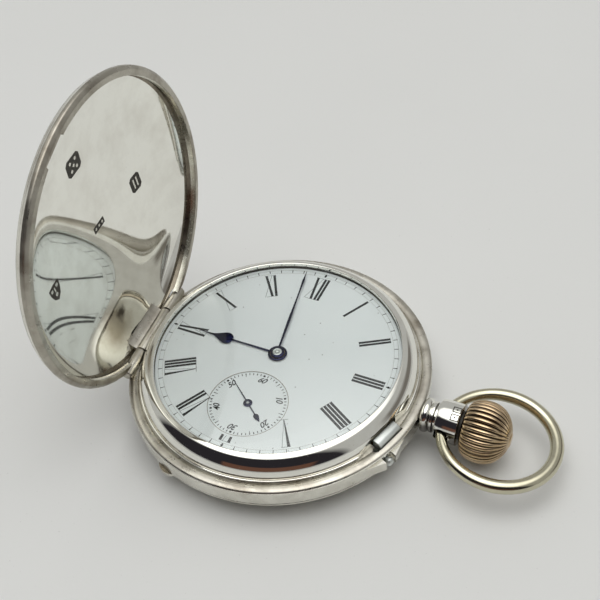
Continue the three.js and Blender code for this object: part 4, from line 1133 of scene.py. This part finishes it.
def above_subdial(strokes):
    """The strokes of VI, their feet cut off at the seconds dial's edge, without the serif there."""
    cut_off = SECONDS_AT.xy.length + SUBDIAL_RADIUS + 0.4
    share = (cut_off - FOOT) / (HEAD - FOOT)
    shortened = []
    for foot_left, foot_right, head_right, head_left in strokes[:-2]:
        left = foot_left[0] + (head_left[0] - foot_left[0]) * share
        right = foot_right[0] + (head_right[0] - foot_right[0]) * share
        shortened.append([(left, cut_off), (right, cut_off), head_right, head_left])
    return [*shortened, strokes[-2]]


def dial_marks():
    outlines = []
    for hour, text in enumerate(HOURS):
        strokes = above_subdial(numeral(text)) if text == "VI" else numeral(text)
        outlines += [spun(stroke, -30 * hour) for stroke in strokes]
    outlines += [tick(TRACK_INNER, TRACK_OUTER + 0.05, 0.09, 0.17, 90 - 6 * minute) for minute in range(60)]
    outlines += [spun(DIAMOND, 90 * quarter) for quarter in range(4)]
    rings = ring_band(TRACK_INNER, 0.035) + ring_band(TRACK_OUTER, 0.04)
    painted("minute_rings", rings, DIAL_TOP, PALE_PAINT)
    painted("dial_numerals", outlines, DIAL_TOP, BLACK_PAINT)


def seconds_marks():
    """A dot at every tenth second, a wedge at every fifth and a short tick at the others."""
    centre = SECONDS_AT.xy
    outlines = []
    for second in range(60):
        azimuth = 90 - 6 * second
        if second % 10 == 0:
            outlines += dots([Vector(polar(6.08, azimuth)) + centre], 0.21)
        elif second % 5 == 0:
            outlines.append(tick(5.55, 6.3, 0.05, 0.17, azimuth, centre))
        else:
            outlines.append(tick(5.92, 6.3, 0.1, 0.17, azimuth, centre))
    painted("seconds_ticks", outlines, SUBDIAL_FLOOR, BLACK_PAINT)


def seconds_figures():
    """The figures 10 to 60, tops outwards, as low solids."""
    height = 1.06
    for value in range(10, 61, 10):
        text = bpy.data.curves.new(f"figure_{value}", "FONT")
        text.body = str(value)
        text.size = height * 1.42 * MM
        text.shear = 0.35
        text.align_x = "CENTER"
        text.extrude = PAINT_THICKNESS * MM / 2
        text.offset = 0.025 * MM
        text.space_character = 0.92
        text.resolution_u = 4
        made = linked(f"seconds_figure_{value}", text)
        azimuth = 90 - 6 * value
        at = Vector((*polar(4.62, azimuth), SUBDIAL_FLOOR + PAINT_THICKNESS / 2)) + SECONDS_AT.xy.to_3d()
        made.matrix_world = Matrix.Translation(at * MM) @ turn(azimuth - 90)
        mesh = evaluated(made)
        mesh.transform(made.matrix_world)
        bpy.data.objects.remove(made)
        finish(linked(f"seconds_figure_{value}", mesh), BLACK_PAINT, "case", sharp_deg=20)


def seconds_edge():
    """The fine brown line where the sunk seconds dial meets the main dial."""
    inner, outer, top = SUBDIAL_RADIUS - 0.02, SUBDIAL_RADIUS + 0.06, DIAL_TOP + 0.006
    profile = [(inner, DIAL_TOP - 0.03), (outer, DIAL_TOP - 0.004), (outer, top), (inner, top)]
    line = to_object("seconds_edge_line", turned(profile, MEDIUM), AT_SECONDS)
    finish(line, SEPIA_PAINT, "case")


dial_face()
dial_marks()
seconds_marks()
seconds_figures()
seconds_edge()

# ---- hands


def hand_outline(half):
    """A closed outline from the upper half edge of a hand that lies along +X."""
    upper = smooth_line(half, 6)
    lower = [Vector((p.x, -p.y)) for p in reversed(upper)]
    points = [*upper, *lower]
    return [tuple(p) for i, p in enumerate(points) if (p - points[i - 1]).length > 1e-4]


def hand(name, half, z, azimuth, boss, body, replaces, at=(0, 0)):
    """A blade with softened edges and a turned boss."""
    blade = to_object(name, raised(hand_outline(half), *z))
    bevelled(blade, 0.03, 2, 50)
    join(blade, (turned(boss, SMALL),))
    blade.data.transform(moved(at[0] * MM, at[1] * MM) @ turn(azimuth))
    finish(blade, BLUED, body, replaces, 40)


HOUR_BLADE = [
    (0, 0.17), (4, 0.17), (8.45, 0.16), (8.72, 0.55), (9.2, 1.02), (9.85, 1.2), (10.6, 1), (11.4, 0.58),
    (12.3, 0.2), (13.4, 0.11), (15.2, 0.02),
]
MINUTE_BLADE = [
    (0, 0.17), (3, 0.18), (7.5, 0.235), (10.5, 0.17), (13.5, 0.125), (16.2, 0.16), (17.4, 0.21),
    (18.4, 0.11), (19.8, 0.02),
]
SECONDS_BLADE = [
    (-4.4, 0.015), (-3.95, 0.2), (-3.3, 0.42), (-2.9, 0.38), (-2.62, 0.1), (-2.2, 0.09), (0, 0.1),
    (3, 0.075), (6, 0.03),
]
HOUR_BOSS = rounded([(1.3, 10.2), (1.64, 10.2, 0.05), (1.64, 10.36, 0.12), (1.3, 10.42, 0.05)], 4)
MINUTE_BOSS = rounded([(0.72, 10.48), (1.2, 10.48, 0.05), (1.2, 10.64, 0.12), (0.72, 10.72, 0.05)], 4)
SECONDS_BOSS = rounded([(0.27, 9.97), (0.76, 9.97, 0.03), (0.76, 10.07, 0.05), (0.27, 10.09, 0.02)], 3)
hand("hour_hand_blade", HOUR_BLADE, (10.22, 10.34), 179.8, HOUR_BOSS, "hour_hand", ["hour_hand"])
hand("minute_hand_blade", MINUTE_BLADE, (10.5, 10.62), 100.2, MINUTE_BOSS, "minute_hand", ["minute_hand"])
hand("seconds_hand_blade", SECONDS_BLADE, (9.98, 10.05), 142, SECONDS_BOSS,
     "fourth_wheel", ["seconds_hand"], SECONDS_AT.xy)


def cannon_pinion_top():
    """The steel tube's end above the minute hand, with the arbor's domed tip inside it."""
    tube = rounded([
        (0.42, 10.6), (0.78, 10.6), (0.78, 10.74, 0.05), (0.6, 10.82, 0.04), (0.42, 10.78, 0.03),
    ], 4)
    finish(to_object("cannon_pinion_end", turned(tube, SMALL)), STEEL, "minute_hand")
    arbor = [(0, 10.6), (0.38, 10.6), (0.38, 10.8), (0.3, 10.88), (0.16, 10.93), (0, 10.95)]
    finish(to_object("centre_arbor_tip", turned(arbor, SMALL)), STEEL, "centre_wheel")


cannon_pinion_top()

# ---- finishes of the CAD pieces that stay
FINISHES = {
    "silver": SILVER,
    "nickel_wire": NICKEL,
    "gold": GOLD,
    "gilt_brass": GILT,
    "wheel_brass": BRASS,
    "steel": MOVEMENT_STEEL,
    "blued_steel": BLUED,
    "enamel": ENAMEL,
    "crystal_glass": GLASS,
    "ruby": RUBY,
}
for part in frame["record"]["subparts"]:
    cad_piece = frame["nodes"][part["node"]]
    cad_piece.data.materials.clear()
    cad_piece.data.materials.append(FINISHES[part["material_slot"]])

# ---- floor, light and camera


def floor():
    build = bmesh.new()
    build.faces.new([build.verts.new((*polar(4000, 360 * k / MEDIUM), 0)) for k in range(MEDIUM)])
    ground = to_object("floor", build)
    material, place = graph_of("pale_paper")
    speck = remap(noise(place, 1.9, 2), 0.7, 0.76, 0, 0.35)
    pale = blend(noise(place, 0.012, 3), (0.755, 0.76, 0.745), (0.805, 0.81, 0.795))
    speckled = blend(speck, pale, (0.5, 0.49, 0.48))
    shaded(material, speckled, 0.6, bump(noise(place, 1.4, 4), 0.1, 0.2), 0)
    ground.data.materials.append(material)


def world():
    """A pale room: grey walls, a broad soft light overhead, and dark in front of the watch."""
    made = bpy.data.worlds.new("studio")
    made.use_nodes = True
    tree = made.node_tree
    place = node(tree, "ShaderNodeTexCoord").outputs["Generated"]
    across, along, height = node(tree, "ShaderNodeSeparateXYZ", {0: place}).outputs
    overhead = remap(height, 0.76, 0.92)
    behind = product(
        remap(across, 0.25, 0.42), remap(along, 0.12, 0.3),
        remap(height, 0.07, 0.14, 0, 0.8), remap(height, 0.44, 0.3),
    )
    front = product(remap(along, -0.3, -0.42), remap(height, 0.88, 0.8), remap(height, 0.05, 0.11))
    desk = product(remap(across, -0.3, -0.26), remap(across, 0.72, 0.66), front, remap(height, 0.38, 0.34))
    sky = blend(overhead, (0.44, 0.44, 0.43), (1.9, 1.9, 1.87))
    sky = blend(behind, sky, (0.10, 0.085, 0.07))
    sky = blend(front, sky, (0.022, 0.02, 0.024))
    sky = blend(desk, sky, (0.12, 0.058, 0.04))
    feed(tree.nodes["Background"], {"Color": sky, "Strength": 1})
    bpy.context.scene.world = made


def softbox():
    """A square light above and a little behind the watch."""
    data = bpy.data.lights.new("softbox", "AREA")
    data.shape = "RECTANGLE"
    data.size = data.size_y = 500 * MM
    data.energy = 0.5
    place = Vector((-60, 40, 800)) * MM
    aim = (-place).to_track_quat("-Z", "Y").to_matrix().to_4x4()
    linked("softbox", data).matrix_world = Matrix.Translation(place) @ aim


CAMERA_DISTANCE = 163.19
CAMERA_ACROSS = -3.774
CAMERA_UP = -9.189


def camera():
    """Looks down at the dial's centre from in front and to the right, turned a little."""
    azimuth, elevation, roll = (math.radians(angle) for angle in (30.184, 45.495, -7.091))
    level_reach = math.cos(elevation)
    back = Vector((math.sin(azimuth) * level_reach, -math.cos(azimuth) * level_reach, math.sin(elevation)))
    level = Vector((0, 0, 1)).cross(back).normalized()
    plumb = back.cross(level)
    right = math.cos(roll) * level + math.sin(roll) * plumb
    up = math.cos(roll) * plumb - math.sin(roll) * level
    place = back * CAMERA_DISTANCE - right * CAMERA_ACROSS - up * CAMERA_UP + Vector((0, 0, DIAL_TOP))
    data = bpy.data.cameras.new("camera")
    data.lens = 57.95
    data.sensor_width = 36
    data.clip_start = 0.01
    viewer = linked("camera", data)
    viewer.matrix_world = Matrix.Translation(place * MM) @ Matrix((right, up, back)).transposed().to_4x4()
    bpy.context.scene.camera = viewer


floor()
world()
softbox()
camera()
bpy.context.scene.view_settings.view_transform = "Standard"
